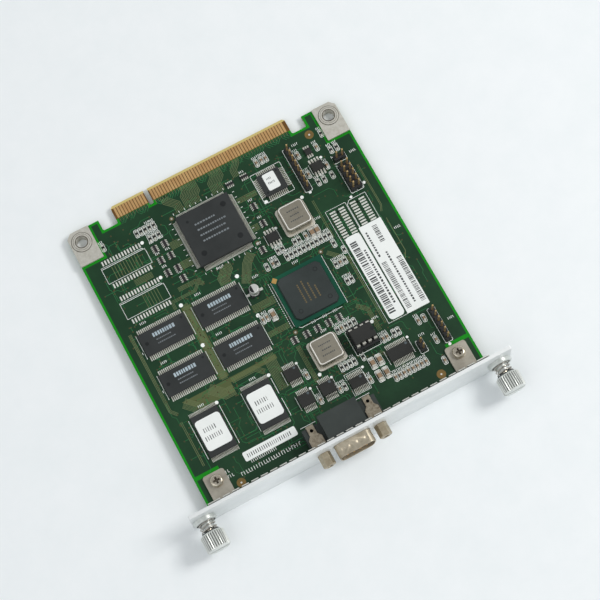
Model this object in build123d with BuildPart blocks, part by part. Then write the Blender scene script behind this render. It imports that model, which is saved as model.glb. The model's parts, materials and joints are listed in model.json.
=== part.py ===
from build123d import *
import os
from math import radians, tan

# Plug-in management module: a bare circuit card behind a metal front panel, with two captive thumbscrews
# and a nine-way serial connector on the panel, and an edge connector at the back.
# Millimetres. +X is right seen from the front, +Y to the back, +Z up. The origin is the middle of the
# edge connector's end, at half the card's thickness. Places on the card are given from the middle of
# the line through its two back shoulders.

os.makedirs("parts", exist_ok=True)

# Card
card_thickness = 1.57
card_width = 124.4
card_depth = 128.6            # back shoulders to front edge
corner_cut = 2.1
tongue_width = 80.9
tongue_reach = 2.9            # past the shoulders
tongue_corner = 0.9
relief_width = 6.75           # notch on each side of the tongue
relief_depth = 5.0
relief_radius = 0.8
bevel_length = 1.2
bevel_rise = 0.42
tin_height = 0.04             # solder that the parts stand on

# Edge contacts, with two positions left out for the key slot
contact_pitch = 1.27
contact_positions = 62
contact_width = 0.95
contact_length = 4.7
contact_height = 0.05
contact_shift = -0.27         # middle of the row from the middle of the card
key_first_position = 11
key_positions = 2
key_width = 1.9
key_depth = 7.2

# Front panel
panel_width = 142.0
panel_height = 21.0
panel_thickness = 1.5
panel_drop = 5.5              # lower edge below the card's upper face
panel_gap = 1.6               # card's front edge to the panel's back
panel_corner = 0.6

# Screening strip along the panel's upper edge
strip_length = 124.0
strip_height = 2.4
strip_metal = 0.15
strip_bow = 1.0
strip_tip_gap = 0.55
strip_root = 0.4
strip_margin = 0.25           # below the panel's upper edge
finger_pitch = 4.15
finger_gap = 1.1

# Angle brackets
bracket_x = 54.4
bracket_width = 9.3
bracket_length = 14.1
bracket_metal = 1.0
bracket_rise = 9.0
bracket_bend = 1.5            # outside radius
bracket_corner = 1.2
bracket_screw_from_panel = 10.1

# Bracket screws and nuts
screw_diameter = 3.0
screw_fit = 0.05
screw_head_diameter = 5.2
screw_head_height = 2.0
screw_head_round = 0.9
cross_width = 0.8
cross_length = 2.8
cross_depth = 1.1
nut_flats = 5.5
nut_height = 2.4
screw_past_nut = 0.6

# Corner plates and their pressed bushes
plate_width = 10.2
plate_length = 15.2
plate_metal = 1.0
bush_from_side = 4.9
bush_from_back = 5.5
bush_hole = 4.6
bush_wall = 0.7
bush_collar = 8.2
bush_collar_height = 0.3
bush_flare = 7.2
bush_flare_height = 1.0

# Serial connector: shell
port_x = -0.3
port_height = 6.3             # axis above the card
flange_width = 30.8
flange_height = 12.3
flange_corner = 1.0
flange_metal = 0.5
shell_width = 16.92
shell_height = 8.36
shell_slope = 10.0            # degrees
shell_radius = 2.6
shell_metal = 0.45
shell_reach = 5.4             # past the panel's face
shell_fit = 0.25
dimple_count = 4
dimple_spacing = 3.4
dimple_ball = 2.6             # radius
dimple_depth = 0.2
dimple_from_rim = 2.5

# Serial connector: insulator, pins, housing
insert_reach = 0.4            # past the panel's face
pin_diameter = 1.0
pin_pitch = 2.77
pin_row_spacing = 2.84
pin_recess = 0.8              # tips inside the shell's rim
pin_bend = 1.2
pin_tail = 1.2                # below the card
pin_long_row = 5
tail_from_flange = 7.2
block_width = 16.8
block_depth = 11.2
block_height = 12.5
block_wall = 1.2
ear_width = 32.0
ear_height = 8.3
ear_depth = 9.6

# Serial connector: board locks and jackscrews
lock_spacing = 24.99
lock_metal = 0.6
lock_front_width = 5.8
lock_front_length = 4.6
lock_taper = 1.6
lock_neck_width = 3.2
lock_plate_drop = 6.6
lock_leg_width = 2.2
lock_leg_hole = 2.6
lock_eye = 1.4
nut_barrel = 4.6
nut_barrel_length = 4.2
jack_flats = 4.75
jack_length = 5.6
jack_chamfer = 0.35
jack_bore = 2.4
jack_bore_depth = 4.6
jack_stud = 2.8
jack_stud_length = 5.6
jack_fit = 0.05

# Captive thumbscrews
thumb_x = 65.75
ferrule_diameter = 10.0
ferrule_reach = 1.9
ferrule_neck = 7.6
ferrule_chamfer = 0.4
well_diameter = 8.0
well_depth = 1.4
sleeve_diameter = 5.0         # ferrule's tube, inside the spring
sleeve_reach = 5.0            # past the panel's face
sleeve_lip = 0.8              # holds the thread back
thread_diameter = 4.0
thread_fit = 0.1
thread_past_panel = 1.0
thread_chamfer = 0.5
neck_diameter = 3.0
neck_fit = 0.05
stop_gap = 0.05
thumb_travel = 2.8
shank_diameter = 5.0
shank_length = 3.6
knob_diameter = 9.9
knob_length = 7.2
knob_gap = 4.4                # ferrule to knob
knob_chamfer = 0.6
knob_recess_diameter = 5.4    # clears the sleeve
knob_flutes = 30
knob_flute_width = 0.6
slot_width = 1.2
slot_depth = 1.3
washer_diameter = 7.6
washer_bore = 5.3
washer_thickness = 0.5
washer_fit = 0.05
spring_wire = 0.55
spring_diameter = 6.4         # middle of the wire
spring_turns = 3.25
spring_gap = 0.05

# Chips: bodies and leads
body_draft = 6.0              # degrees
body_lift = 0.1
lead_metal = 0.15
lead_share = 0.46             # lead width over pitch
lead_foot = 0.7
lead_knee = 0.45              # share of the way from body to heel
bridge_at = (-7.4, -27.25)
bridge_body = 24.0
bridge_height = 2.9
bridge_span = 26.6
bridge_pitch = 0.5
bridge_leads_a_side = 44
controller_at = (23.1, -20.1)
controller_body = 10.0
controller_height = 1.5
controller_span = 13.2
controller_pitch = 0.8
controller_leads_a_side = 11
memory_columns = (-45.0, -19.9)
memory_rows = (-57.0, -76.0)
memory_length = 20.95
memory_width = 10.16
memory_height = 1.1
memory_span = 13.2
memory_pitch = 0.8
memory_leads_a_side = 25
flash_places = ((-46.3, -101.7), (-23.2, -101.7))
flash_width = 12.0
flash_length = 18.4
flash_height = 1.1
flash_span = 21.0
flash_pitch = 0.5
flash_leads_a_side = 24
gate_places = ((42.6, -22.9), (12.1, -41.3))
gate_length = 5.0
gate_width = 3.9
gate_height = 1.6
gate_span = 7.2
gate_pitch = 1.27
gate_leads_a_side = 4
driver_places = ((-7.9, -96.0), (-7.9, -107.8), (1.8, -107.8))
driver_length = 6.3
driver_width = 5.3
driver_height = 1.9
driver_span = 8.9
driver_pitch = 0.65
driver_leads_a_side = 8
switch_at = (13.6, -111.1)
switch_length = 6.6
switch_width = 4.4
switch_height = 1.1
switch_span = 8.0
switch_leads_a_side = 10
line_driver_at = (34.1, -108.35)
line_driver_length = 10.2
line_driver_leads_a_side = 14
reset_at = (42.4, -15.3)
reset_length = 2.9
reset_width = 2.8
reset_height = 1.1
reset_span = 4.6
reset_pitch = 0.95
reset_leads_a_side = 3

# Ball grid processor
processor_at = (13.9, -68.5)
substrate_size = 23.0
substrate_height = 0.6
ball_diameter = 0.75
ball_height = 0.55
ball_pitch = 1.27
balls_a_side = 17
cap_size = 19.9
cap_height = 1.15
cap_corner = 1.7
cap_draft = 20.0              # degrees

# Clock oscillators in metal cans
clock_places = ((24.0, -38.4), (8.6, -94.3))
clock_base = 13.0
clock_base_height = 0.9
clock_base_corner = 1.6
clock_can = 11.4
clock_can_height = 4.4
clock_can_corner = 1.8
clock_can_edge = 0.7

# Boot chip in its socket
socket_at = (24.0, -96.3)
socket_size = 10.16
socket_height = 4.2
socket_window_length = 6.2
socket_window_width = 4.4
socket_row_spacing = 7.62
socket_pitch = 2.54
socket_pins_a_side = 4
socket_slot_length = 1.7
socket_slot_width = 0.6
socket_slot_depth = 2.8
contact_tail_length = 0.5
contact_tail_width = 0.3
contact_tail_reach = 1.0
contact_tail_hole = 0.7
boot_length = 9.8
boot_width = 6.35
boot_height = 3.3
boot_lift = 0.5
boot_lead_width = 1.4
boot_tip_width = 0.5
boot_lead_metal = 0.25
boot_tip_depth = 2.4

# Smoothing capacitor
smoother_at = (-5.2, -58.3)
smoother_base = 4.3
smoother_base_height = 0.9
smoother_base_corner = 0.9
smoother_can = 4.0
smoother_height = 5.4
smoother_edge = 0.35
smoother_waist = 0.15         # depth of the rolled groove
smoother_waist_height = 1.9
smoother_waist_length = 0.7

# Pin headers: middle, pins across, pins along
header_pitch = 2.54
header_body_height = 2.5
header_notch = 0.35
header_pin = 0.64
header_pin_rise = 8.6
header_pin_tail = 1.0
header_pin_point = 0.15
header_hole = 1.0
headers = (
    ((34.8, -20.2), 1, 8), ((52.4, -33.4), 2, 5), ((52.5, -23.9), 2, 1),
    ((53.7, -106.1), 1, 6), ((43.0, -110.5), 1, 2),
)

# Chip resistors and capacitors, standing along Y
chip_length = 1.6
chip_width = 0.8
resistor_height = 0.45
capacitor_height = 0.8
bulk_length = 3.2
bulk_width = 1.6
bulk_height = 1.3
array_length = 3.2
array_width = 1.6
array_height = 0.6
array_pitch = 0.8
array_notch = 0.15
resistor_row = -51.3
resistor_columns = (4.2, 8.7, 13.4, 15.35, 17.3, 19.2, 21.1, 23.1, 25.05, 27.0, 29.0, 30.95, 32.9)
other_resistors = (
    (-50.7, -11.6), (-35.9, -12.9), (-34.0, -12.9), (-32.1, -12.9), (-30.1, -12.9), (-28.1, -12.9),
    (-32.1, -17.5), (-30.1, -17.5), (-28.1, -17.5),
    (50.9, -10.6), (51.1, -19.0), (53.7, -19.0), (39.9, -29.0), (42.6, -29.0), (46.4, -29.0),
    (11.3, -47.3), (13.4, -47.3), (19.2, -47.3), (21.1, -47.3), (32.8, -55.4), (35.3, -59.8),
    (29.3, -63.8), (33.3, -63.8), (30.0, -72.2), (31.9, -72.2),
    (16.6, -88.5), (20.4, -88.5), (22.3, -88.5), (24.2, -88.5),
    (10.7, -103.0), (12.6, -103.0), (14.5, -103.0), (16.4, -103.0), (20.3, -103.0),
    (8.1, -110.3), (35.9, -100.4), (37.8, -100.4),
)
filter_row = -116.8
filter_columns = (27.7, 29.65, 31.6, 33.6, 35.55, 37.5, 39.5, 41.5)
other_capacitors = (
    (21.4, -9.4), (23.7, -9.2), (25.7, -9.2), (37.9, -14.6), (46.4, -15.1), (37.9, -24.2), (46.4, -24.2),
    (7.0, -51.3), (24.4, -47.3), (31.3, -63.8), (-7.6, -70.3), (-5.7, -70.1),
    (18.5, -88.5), (5.9, -110.3), (18.4, -112.7), (-3.0, -99.0), (-3.0, -110.6),
    (30.9, -100.4), (32.7, -100.4), (46.9, -100.6), (49.5, -100.6), (49.4, -110.8), (48.2, -120.0),
)
bulk_places = (
    (22.4, -107.3), (25.6, -107.3), (22.4, -113.2), (25.6, -113.2), (27.2, -47.2), (29.5, -47.2), (-3.0, -70.4),
)
upright_arrays = (
    (-32.25, -22.4), (-27.7, -22.2), (-32.25, -27.9), (-27.7, -27.9), (-32.25, -34.0), (-27.7, -34.1),
    (-27.7, -39.1), (11.6, -25.7), (11.6, -34.0), (6.1, -44.0),
    (-0.4, -84.0), (5.1, -84.0), (10.0, -84.0), (15.1, -84.0), (19.8, -84.0),
)
flat_arrays = ((7.4, -12.3), (14.1, -12.2))

# Paper labels: middle, size along X and Y, corner radius
label_paper = 0.1
controller_label = ((23.0, -19.6), (5.3, 7.6), 0.7)
flash_label_size = (10.9, 13.4)
flash_label_corner = 1.4
card_labels = (
    ((-28.95, -116.65), (23.3, 4.0), 0.7),
    ((40.7, -75.6), (6.7, 39.4), 1.7),
    ((49.75, -75.2), (10.1, 41.3), 0.1),
)

# Places that follow from the sizes above
card_top = card_thickness / 2
shoulder_y = -tongue_reach
panel_back_y = -card_depth - panel_gap          # from the shoulders
panel_middle = panel_height / 2 - panel_drop    # above the card
panel_upper = panel_height - panel_drop
flange_back_y = panel_back_y + flange_metal
half_card = card_width / 2
half_tongue = tongue_width / 2
bush_barrel = bush_hole + 2 * bush_wall
bush_places = [(side * (half_card - bush_from_side), -bush_from_back) for side in (-1, 1)]
screw_places = [(side * bracket_x, panel_back_y + bracket_screw_from_panel) for side in (-1, 1)]
screw_hole = screw_diameter + 2 * screw_fit
jack_hole = jack_stud + 2 * jack_fit
lock_columns = [port_x - lock_spacing / 2, port_x + lock_spacing / 2]
lock_leg_y = flange_back_y + ear_depth + lock_metal / 2
upper_pins = [
    (port_x + (i - (pin_long_row - 1) / 2) * pin_pitch, port_height + pin_row_spacing / 2)
    for i in range(pin_long_row)
]
lower_pins = [
    (port_x + (i - (pin_long_row - 2) / 2) * pin_pitch, port_height - pin_row_spacing / 2)
    for i in range(pin_long_row - 1)
]
upper_tail_y = flange_back_y + tail_from_flange
lower_tail_y = upper_tail_y - pin_row_spacing
port_tails = [(x, upper_tail_y) for x, z in upper_pins] + [(x, lower_tail_y) for x, z in lower_pins]
memory_places = [(x, y) for x in memory_columns for y in memory_rows]
socket_columns = [(i - (socket_pins_a_side - 1) / 2) * socket_pitch for i in range(socket_pins_a_side)]
socket_pins = [
    (socket_at[0] + x, socket_at[1] + side * socket_row_spacing / 2) for x in socket_columns for side in (-1, 1)
]
header_pins_of = [
    [
        (middle[0] + (i - (across - 1) / 2) * header_pitch, middle[1] + (j - (along - 1) / 2) * header_pitch)
        for i in range(across) for j in range(along)
    ]
    for middle, across, along in headers
]
all_header_pins = [place for places in header_pins_of for place in places]

# Datum planes. On the deck local X and Y are the card's; on the panel's planes local Y runs up.
deck = Plane(origin=(0, shoulder_y, card_top))
underside = deck.offset(-card_thickness)
panel_back = Plane(origin=(0, shoulder_y + panel_back_y, card_top), x_dir=(1, 0, 0), z_dir=(0, -1, 0))
panel_face = panel_back.offset(panel_thickness)
flange_back = panel_back.offset(-flange_metal)
side_view = Plane(origin=(0, shoulder_y, card_top), x_dir=(0, 1, 0), z_dir=(1, 0, 0))


def on_deck(place, turn=0, height=0):
    return deck.location * Location((place[0], place[1], height), (0, 0, turn))


def d_outline(width, height, radius):
    """D-shaped connector outline, wide side up, about its own middle."""
    bottom = width - 2 * height * tan(radians(shell_slope))
    with BuildSketch() as outline:
        with BuildLine():
            Polyline(
                (-width / 2, height / 2), (width / 2, height / 2),
                (bottom / 2, -height / 2), (-bottom / 2, -height / 2), close=True)
        make_face()
        fillet(outline.vertices(), radius)
    return outline.sketch


def moulded_body(length, width, bottom, shoulder, top, draft=body_draft):
    """Moulded chip body, drafted above and below the shoulder where its leads come out."""
    with BuildPart() as body:
        with BuildSketch(Plane.XY.offset(shoulder)):
            Rectangle(length, width)
        extrude(amount=top - shoulder, taper=draft)
        with BuildSketch(Plane.XY.offset(shoulder)):
            Rectangle(length, width)
        extrude(amount=shoulder - bottom, dir=(0, 0, -1), taper=draft)
    return body.part


def gull_lead(root, span, shoulder, width):
    """One lead of a chip on the card, from the body's side at root out to half the span along +Y."""
    half = lead_metal / 2
    heel = span / 2 - lead_foot
    knee = root + (heel - root) * lead_knee
    with BuildPart() as lead:
        with BuildSketch(Plane.YZ.offset(-width / 2)):
            with BuildLine():
                Polyline(
                    (root, shoulder + half), (knee + half, shoulder + half),
                    (heel + half, tin_height + lead_metal), (span / 2, tin_height + lead_metal),
                    (span / 2, tin_height), (heel - half, tin_height),
                    (knee - half, shoulder - half), (root, shoulder - half), close=True)
            make_face()
        extrude(amount=width)
    return lead.part


def lead_places(chips, turns, count, pitch):
    """Where the leads of several like chips stand, the first lead's row being a chip's +Y side."""
    row = [Location(((i - (count - 1) / 2) * pitch, 0, 0)) for i in range(count)]
    return [on_deck(chip, turn) * step for chip in chips for turn in turns for step in row]


def chip_group(name, chips, length, width, height):
    """Like moulded chips on the card, written as one node. Returns the height of their leads' shoulder."""
    shoulder = body_lift + (height - body_lift) / 2
    one_body = moulded_body(length, width, body_lift, shoulder, height)
    with BuildPart() as bodies:
        with Locations(*[on_deck(chip) for chip in chips]):
            add(one_body)
    bodies.part.label = name
    export_step(bodies.part, f"parts/{name}.step")
    return shoulder


def lead_group(name, rows):
    """Rows of leads written as one node. A row holds chips, turns, root, span, shoulder, count and pitch."""
    placed = []
    for chips, turns, root, span, shoulder, count, pitch in rows:
        lead = gull_lead(root, span, shoulder, pitch * lead_share)
        placed += [lead.moved(place) for place in lead_places(chips, turns, count, pitch)]
    with BuildPart() as leads:
        add(placed)
    leads.part.label = name
    export_step(leads.part, f"parts/{name}.step")


both_sides = (0, 180)
all_sides = (0, 90, 180, 270)

# Circuit card
first_contact = contact_shift - (contact_positions - 1) / 2 * contact_pitch
key_x = first_contact + (key_first_position + (key_positions - 1) / 2) * contact_pitch
with BuildPart() as circuit_board:
    with BuildSketch(underside):
        with BuildLine():
            Polyline(
                (-half_card, -card_depth), (-half_card, -corner_cut), (-half_card + corner_cut, 0),
                (-half_tongue - relief_width, 0), (-half_tongue - relief_width, -relief_depth),
                (-half_tongue, -relief_depth), (-half_tongue, tongue_reach - tongue_corner),
                (-half_tongue + tongue_corner, tongue_reach), (half_tongue - tongue_corner, tongue_reach),
                (half_tongue, tongue_reach - tongue_corner), (half_tongue, -relief_depth),
                (half_tongue + relief_width, -relief_depth), (half_tongue + relief_width, 0),
                (half_card - corner_cut, 0), (half_card, -corner_cut), (half_card, -card_depth), close=True)
        make_face()
        with Locations((key_x, tongue_reach - key_depth / 2)):
            Rectangle(key_width, key_depth, mode=Mode.SUBTRACT)
    extrude(amount=card_thickness)
    relief_corners = [
        edge for edge in circuit_board.edges().filter_by(Axis.Z)
        if abs(edge.center().Y - (shoulder_y - relief_depth)) < relief_radius / 10
    ]
    fillet(relief_corners, relief_radius)
    for face in (1, -1):
        with BuildSketch(Plane.YZ.offset(-half_tongue)):
            with BuildLine():
                Polyline(
                    (-bevel_length, face * card_top), (bevel_length, face * card_top),
                    (bevel_length, face * (card_top - 2 * bevel_rise)), close=True)
            make_face()
        extrude(amount=tongue_width, mode=Mode.SUBTRACT)
    for places, diameter in (
        (bush_places, bush_barrel), (screw_places, screw_hole), (port_tails, pin_diameter),
        ([(x, lock_leg_y) for x in lock_columns], lock_leg_hole),
        (socket_pins, contact_tail_hole), (all_header_pins, header_hole),
    ):
        with BuildSketch(underside):
            with Locations(*places):
                Circle(diameter / 2)
        extrude(amount=card_thickness, mode=Mode.SUBTRACT)
circuit_board.part.label = "circuit_board"
export_step(circuit_board.part, "parts/circuit_board.step")

# Edge contacts on both faces of the tongue
contact_columns = [
    first_contact + i * contact_pitch for i in range(contact_positions)
    if not key_first_position <= i < key_first_position + key_positions
]
contact_y = tongue_reach - bevel_length - contact_length / 2
with BuildPart() as edge_contacts:
    for plane in (deck, underside.offset(-contact_height)):
        with BuildSketch(plane):
            with Locations(*[(x, contact_y) for x in contact_columns]):
                Rectangle(contact_width, contact_length)
        extrude(amount=contact_height)
edge_contacts.part.label = "edge_contacts"
export_step(edge_contacts.part, "parts/edge_contacts.step")

# Front panel
port_cutout = d_outline(shell_width + 2 * shell_fit, shell_height + 2 * shell_fit, shell_radius + shell_fit)
with BuildPart() as front_panel:
    with BuildSketch(panel_back):
        with Locations((0, panel_middle)):
            RectangleRounded(panel_width, panel_height, panel_corner)
        with Locations((-thumb_x, panel_middle), (thumb_x, panel_middle)):
            Circle(ferrule_neck / 2, mode=Mode.SUBTRACT)
        with Locations((port_x, port_height)):
            add(port_cutout, mode=Mode.SUBTRACT)
        with Locations(*[(x, port_height) for x in lock_columns]):
            Circle(jack_stud / 2 + shell_fit, mode=Mode.SUBTRACT)
    extrude(amount=panel_thickness)
front_panel.part.label = "front_panel"
export_step(front_panel.part, "parts/front_panel.step")

# Screening strip: a flat root on the panel's back, and a bowed front slit into fingers
strip_low = panel_upper - strip_margin - strip_height
strip_mid = strip_low + strip_height / 2
strip_high = strip_low + strip_height
strip_section = Plane(
    origin=(-strip_length / 2, shoulder_y + panel_back_y, card_top), x_dir=(0, 1, 0), z_dir=(1, 0, 0))
finger_count = int(strip_length / finger_pitch)
with BuildPart() as screening_strip:
    with BuildSketch(strip_section):
        with BuildLine():
            ThreePointArc((0, strip_low), (strip_bow, strip_mid), (strip_tip_gap, strip_high))
            Line((strip_tip_gap, strip_high), (strip_tip_gap - strip_metal, strip_high))
            ThreePointArc(
                (strip_tip_gap - strip_metal, strip_high), (strip_bow - strip_metal, strip_mid),
                (0, strip_low + strip_metal))
            Line((0, strip_low + strip_metal), (0, strip_low))
        make_face()
        with Locations((0, strip_low + strip_metal)):
            Rectangle(strip_metal, strip_height - strip_metal, align=(Align.MIN, Align.MIN))
    extrude(amount=strip_length)
    with BuildSketch(panel_back.offset(-strip_metal)):
        with Locations(*[
            ((i - (finger_count - 2) / 2) * finger_pitch, strip_low + strip_root)
            for i in range(finger_count - 1)
        ]):
            Rectangle(finger_gap, strip_height, align=(Align.CENTER, Align.MIN))
    extrude(amount=-strip_bow, mode=Mode.SUBTRACT)
screening_strip.part.label = "screening_strip"
export_step(screening_strip.part, "parts/screening_strip.step")

# Angle brackets: foot on the card, leg up the panel's back
for side, name in ((-1, "left_bracket"), (1, "right_bracket")):
    left_edge = Plane(
        origin=(side * bracket_x - bracket_width / 2, shoulder_y + panel_back_y, card_top),
        x_dir=(0, 1, 0), z_dir=(1, 0, 0))
    with BuildPart() as bracket:
        with BuildSketch(left_edge):
            Rectangle(bracket_length, bracket_metal, align=(Align.MIN, Align.MIN))
            Rectangle(bracket_metal, bracket_rise, align=(Align.MIN, Align.MIN))
        extrude(amount=bracket_width)
        outer_bend = bracket.edges().filter_by(Axis.X).sort_by(Axis.Z)[:2].sort_by(Axis.Y)[0]
        fillet(outer_bend, bracket_bend)
        foot_corners = bracket.edges().filter_by(Axis.Z).group_by(Axis.Y)[-1]
        fillet(foot_corners, bracket_corner)
        with BuildSketch(deck):
            with Locations((side * bracket_x, panel_back_y + bracket_screw_from_panel)):
                Circle(screw_hole / 2)
        extrude(amount=bracket_metal, mode=Mode.SUBTRACT)
    bracket.part.label = name
    export_step(bracket.part, f"parts/{name}.step")

# Bracket screws and the nuts under the card
screw_length = bracket_metal + card_thickness + nut_height + screw_past_nut
with BuildPart() as bracket_screws:
    with BuildSketch(deck.offset(bracket_metal)):
        with Locations(*screw_places):
            Circle(screw_head_diameter / 2)
    extrude(amount=screw_head_height)
    fillet(bracket_screws.edges().group_by(Axis.Z)[-1], screw_head_round)
    with BuildSketch(deck.offset(bracket_metal + screw_head_height)):
        with Locations(*screw_places):
            Rectangle(cross_length, cross_width)
            Rectangle(cross_width, cross_length)
    extrude(amount=-cross_depth, mode=Mode.SUBTRACT)
    with BuildSketch(deck.offset(bracket_metal)):
        with Locations(*screw_places):
            Circle(screw_diameter / 2)
    extrude(amount=-screw_length)
bracket_screws.part.label = "bracket_screws"
export_step(bracket_screws.part, "parts/bracket_screws.step")

with BuildPart() as bracket_nuts:
    with BuildSketch(underside):
        with Locations(*screw_places):
            RegularPolygon(nut_flats / 2, 6, major_radius=False)
            Circle(screw_hole / 2, mode=Mode.SUBTRACT)
    extrude(amount=-nut_height)
bracket_nuts.part.label = "bracket_nuts"
export_step(bracket_nuts.part, "parts/bracket_nuts.step")

# Corner plates
for side, name in ((-1, "left_corner_plate"), (1, "right_corner_plate")):
    with BuildPart() as corner_plate:
        with BuildSketch(deck):
            with BuildLine():
                Polyline(
                    (side * (half_card - corner_cut), 0), (side * half_card, -corner_cut),
                    (side * half_card, -plate_length), (side * (half_card - plate_width), -plate_length),
                    (side * (half_card - plate_width), 0), close=True)
            make_face()
            with Locations((side * (half_card - bush_from_side), -bush_from_back)):
                Circle(bush_barrel / 2, mode=Mode.SUBTRACT)
        extrude(amount=plate_metal)
    corner_plate.part.label = name
    export_step(corner_plate.part, f"parts/{name}.step")

# Pressed bushes: collar on the plate, barrel through plate and card, flare under the card
with BuildPart() as corner_bushes:
    for low, high, diameter in (
        (plate_metal, plate_metal + bush_collar_height, bush_collar),
        (-card_thickness, plate_metal, bush_barrel),
        (-card_thickness - bush_flare_height, -card_thickness, bush_flare),
    ):
        with BuildSketch(deck.offset(low)):
            with Locations(*bush_places):
                Circle(diameter / 2)
                Circle(bush_hole / 2, mode=Mode.SUBTRACT)
        extrude(amount=high - low)
corner_bushes.part.label = "corner_bushes"
export_step(corner_bushes.part, "parts/corner_bushes.step")

# Serial connector's metal shell, with its flange against the panel's back
shell_outside = d_outline(shell_width, shell_height, shell_radius)
shell_inside = d_outline(
    shell_width - 2 * shell_metal, shell_height - 2 * shell_metal, shell_radius - shell_metal)
shell_length = flange_metal + panel_thickness + shell_reach
with BuildPart() as port_shell:
    with BuildSketch(flange_back):
        with Locations((port_x, port_height)):
            RectangleRounded(flange_width, flange_height, flange_corner)
        with Locations(*[(x, port_height) for x in lock_columns]):
            Circle(jack_stud / 2 + shell_fit, mode=Mode.SUBTRACT)
    extrude(amount=flange_metal)
    with BuildSketch(flange_back):
        with Locations((port_x, port_height)):
            add(shell_outside)
    extrude(amount=shell_length)
    with BuildSketch(flange_back):
        with Locations((port_x, port_height)):
            add(shell_inside)
    extrude(amount=shell_length, mode=Mode.SUBTRACT)
    with Locations(*[
        panel_face.location * Location((
            port_x + (i - (dimple_count - 1) / 2) * dimple_spacing,
            port_height + shell_height / 2 + dimple_ball - dimple_depth,
            shell_reach - dimple_from_rim))
        for i in range(dimple_count)
    ]):
        Sphere(dimple_ball, mode=Mode.SUBTRACT)
port_shell.part.label = "port_shell"
export_step(port_shell.part, "parts/port_shell.step")

# Serial connector's insulator, which fills the shell up to its pins' roots
with BuildPart() as port_insert:
    with BuildSketch(flange_back):
        with Locations((port_x, port_height)):
            add(shell_inside)
        with Locations(*upper_pins, *lower_pins):
            Circle(pin_diameter / 2, mode=Mode.SUBTRACT)
    extrude(amount=flange_metal + panel_thickness + insert_reach)
port_insert.part.label = "port_insert"
export_step(port_insert.part, "parts/port_insert.step")

# Serial connector's pins: straight through the insulator, then bent down through the card
bent_pins = []
for places, tail_y in ((upper_pins, upper_tail_y), (lower_pins, lower_tail_y)):
    for x, height in places:
        tip = panel_back_y - panel_thickness - shell_reach + pin_recess
        with BuildPart() as bent_pin:
            with BuildLine(side_view.offset(x)):
                FilletPolyline(
                    (tip, height), (tail_y, height), (tail_y, -card_thickness - pin_tail), radius=pin_bend)
            with BuildSketch(Plane(origin=(x, shoulder_y + tip, card_top + height), z_dir=(0, 1, 0))):
                Circle(pin_diameter / 2)
            sweep()
        bent_pins.append(bent_pin.part)
with BuildPart() as port_pins:
    add(bent_pins)
port_pins.part.label = "port_pins"
export_step(port_pins.part, "parts/port_pins.step")

# Serial connector's housing: a hollow block over the bent pins, and an ear behind each lock plate
with BuildPart() as port_housing:
    with BuildSketch(deck):
        with Locations((port_x, flange_back_y)):
            Rectangle(block_width, block_depth, align=(Align.CENTER, Align.MIN))
    extrude(amount=block_height)
    with BuildSketch(deck):
        with Locations((port_x, flange_back_y + lock_metal)):
            Rectangle(ear_width, ear_depth - lock_metal, align=(Align.CENTER, Align.MIN))
    extrude(amount=ear_height)
    with BuildSketch(deck):
        with Locations((port_x, flange_back_y + block_wall)):
            Rectangle(
                block_width - 2 * block_wall, block_depth - 2 * block_wall, align=(Align.CENTER, Align.MIN))
    extrude(amount=block_height - block_wall, mode=Mode.SUBTRACT)
    with BuildSketch(flange_back):
        with Locations(*upper_pins, *lower_pins):
            Circle(pin_diameter / 2)
    extrude(amount=-block_wall, mode=Mode.SUBTRACT)
    with BuildSketch(flange_back.offset(-lock_metal)):
        with Locations(*[(x, port_height) for x in lock_columns]):
            Circle(nut_barrel / 2)
    extrude(amount=lock_metal - ear_depth, mode=Mode.SUBTRACT)
port_housing.part.label = "port_housing"
export_step(port_housing.part, "parts/port_housing.step")

# Board locks: a nut barrel on a plate behind the flange, over the ear's top and down through the card
lock_top = ear_height + lock_metal
taper_end = lock_front_length + lock_taper
lock_half_outline = [
    (lock_front_width / 2, 0), (lock_front_width / 2, lock_front_length),
    (lock_neck_width / 2, taper_end), (lock_neck_width / 2, ear_depth + lock_metal),
]
lock_outline = lock_half_outline + [(-across, along) for across, along in reversed(lock_half_outline)]
with BuildPart() as port_locks:
    for x in lock_columns:
        with BuildSketch(flange_back):
            with Locations((x, lock_top)):
                Rectangle(lock_front_width, lock_plate_drop, align=(Align.CENTER, Align.MAX))
        extrude(amount=-lock_metal)
        with BuildSketch(deck.offset(ear_height)):
            with BuildLine():
                Polyline(*[(x + across, flange_back_y + along) for across, along in lock_outline], close=True)
            make_face()
            with Locations((x, flange_back_y + (taper_end + ear_depth) / 2)):
                Circle(lock_eye / 2, mode=Mode.SUBTRACT)
        extrude(amount=lock_metal)
        with BuildSketch(deck.offset(ear_height)):
            with Locations((x, lock_leg_y)):
                Rectangle(lock_neck_width, lock_metal)
        extrude(amount=-ear_height)
        with BuildSketch(deck):
            with Locations((x, lock_leg_y)):
                Rectangle(lock_leg_width, lock_metal)
        extrude(amount=-card_thickness - pin_tail)
        with BuildSketch(flange_back.offset(-lock_metal)):
            with Locations((x, port_height)):
                Circle(nut_barrel / 2)
        extrude(amount=-nut_barrel_length)
        with BuildSketch(flange_back):
            with Locations((x, port_height)):
                Circle(jack_hole / 2)
        extrude(amount=-lock_metal - nut_barrel_length, mode=Mode.SUBTRACT)
port_locks.part.label = "port_locks"
export_step(port_locks.part, "parts/port_locks.step")

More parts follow.
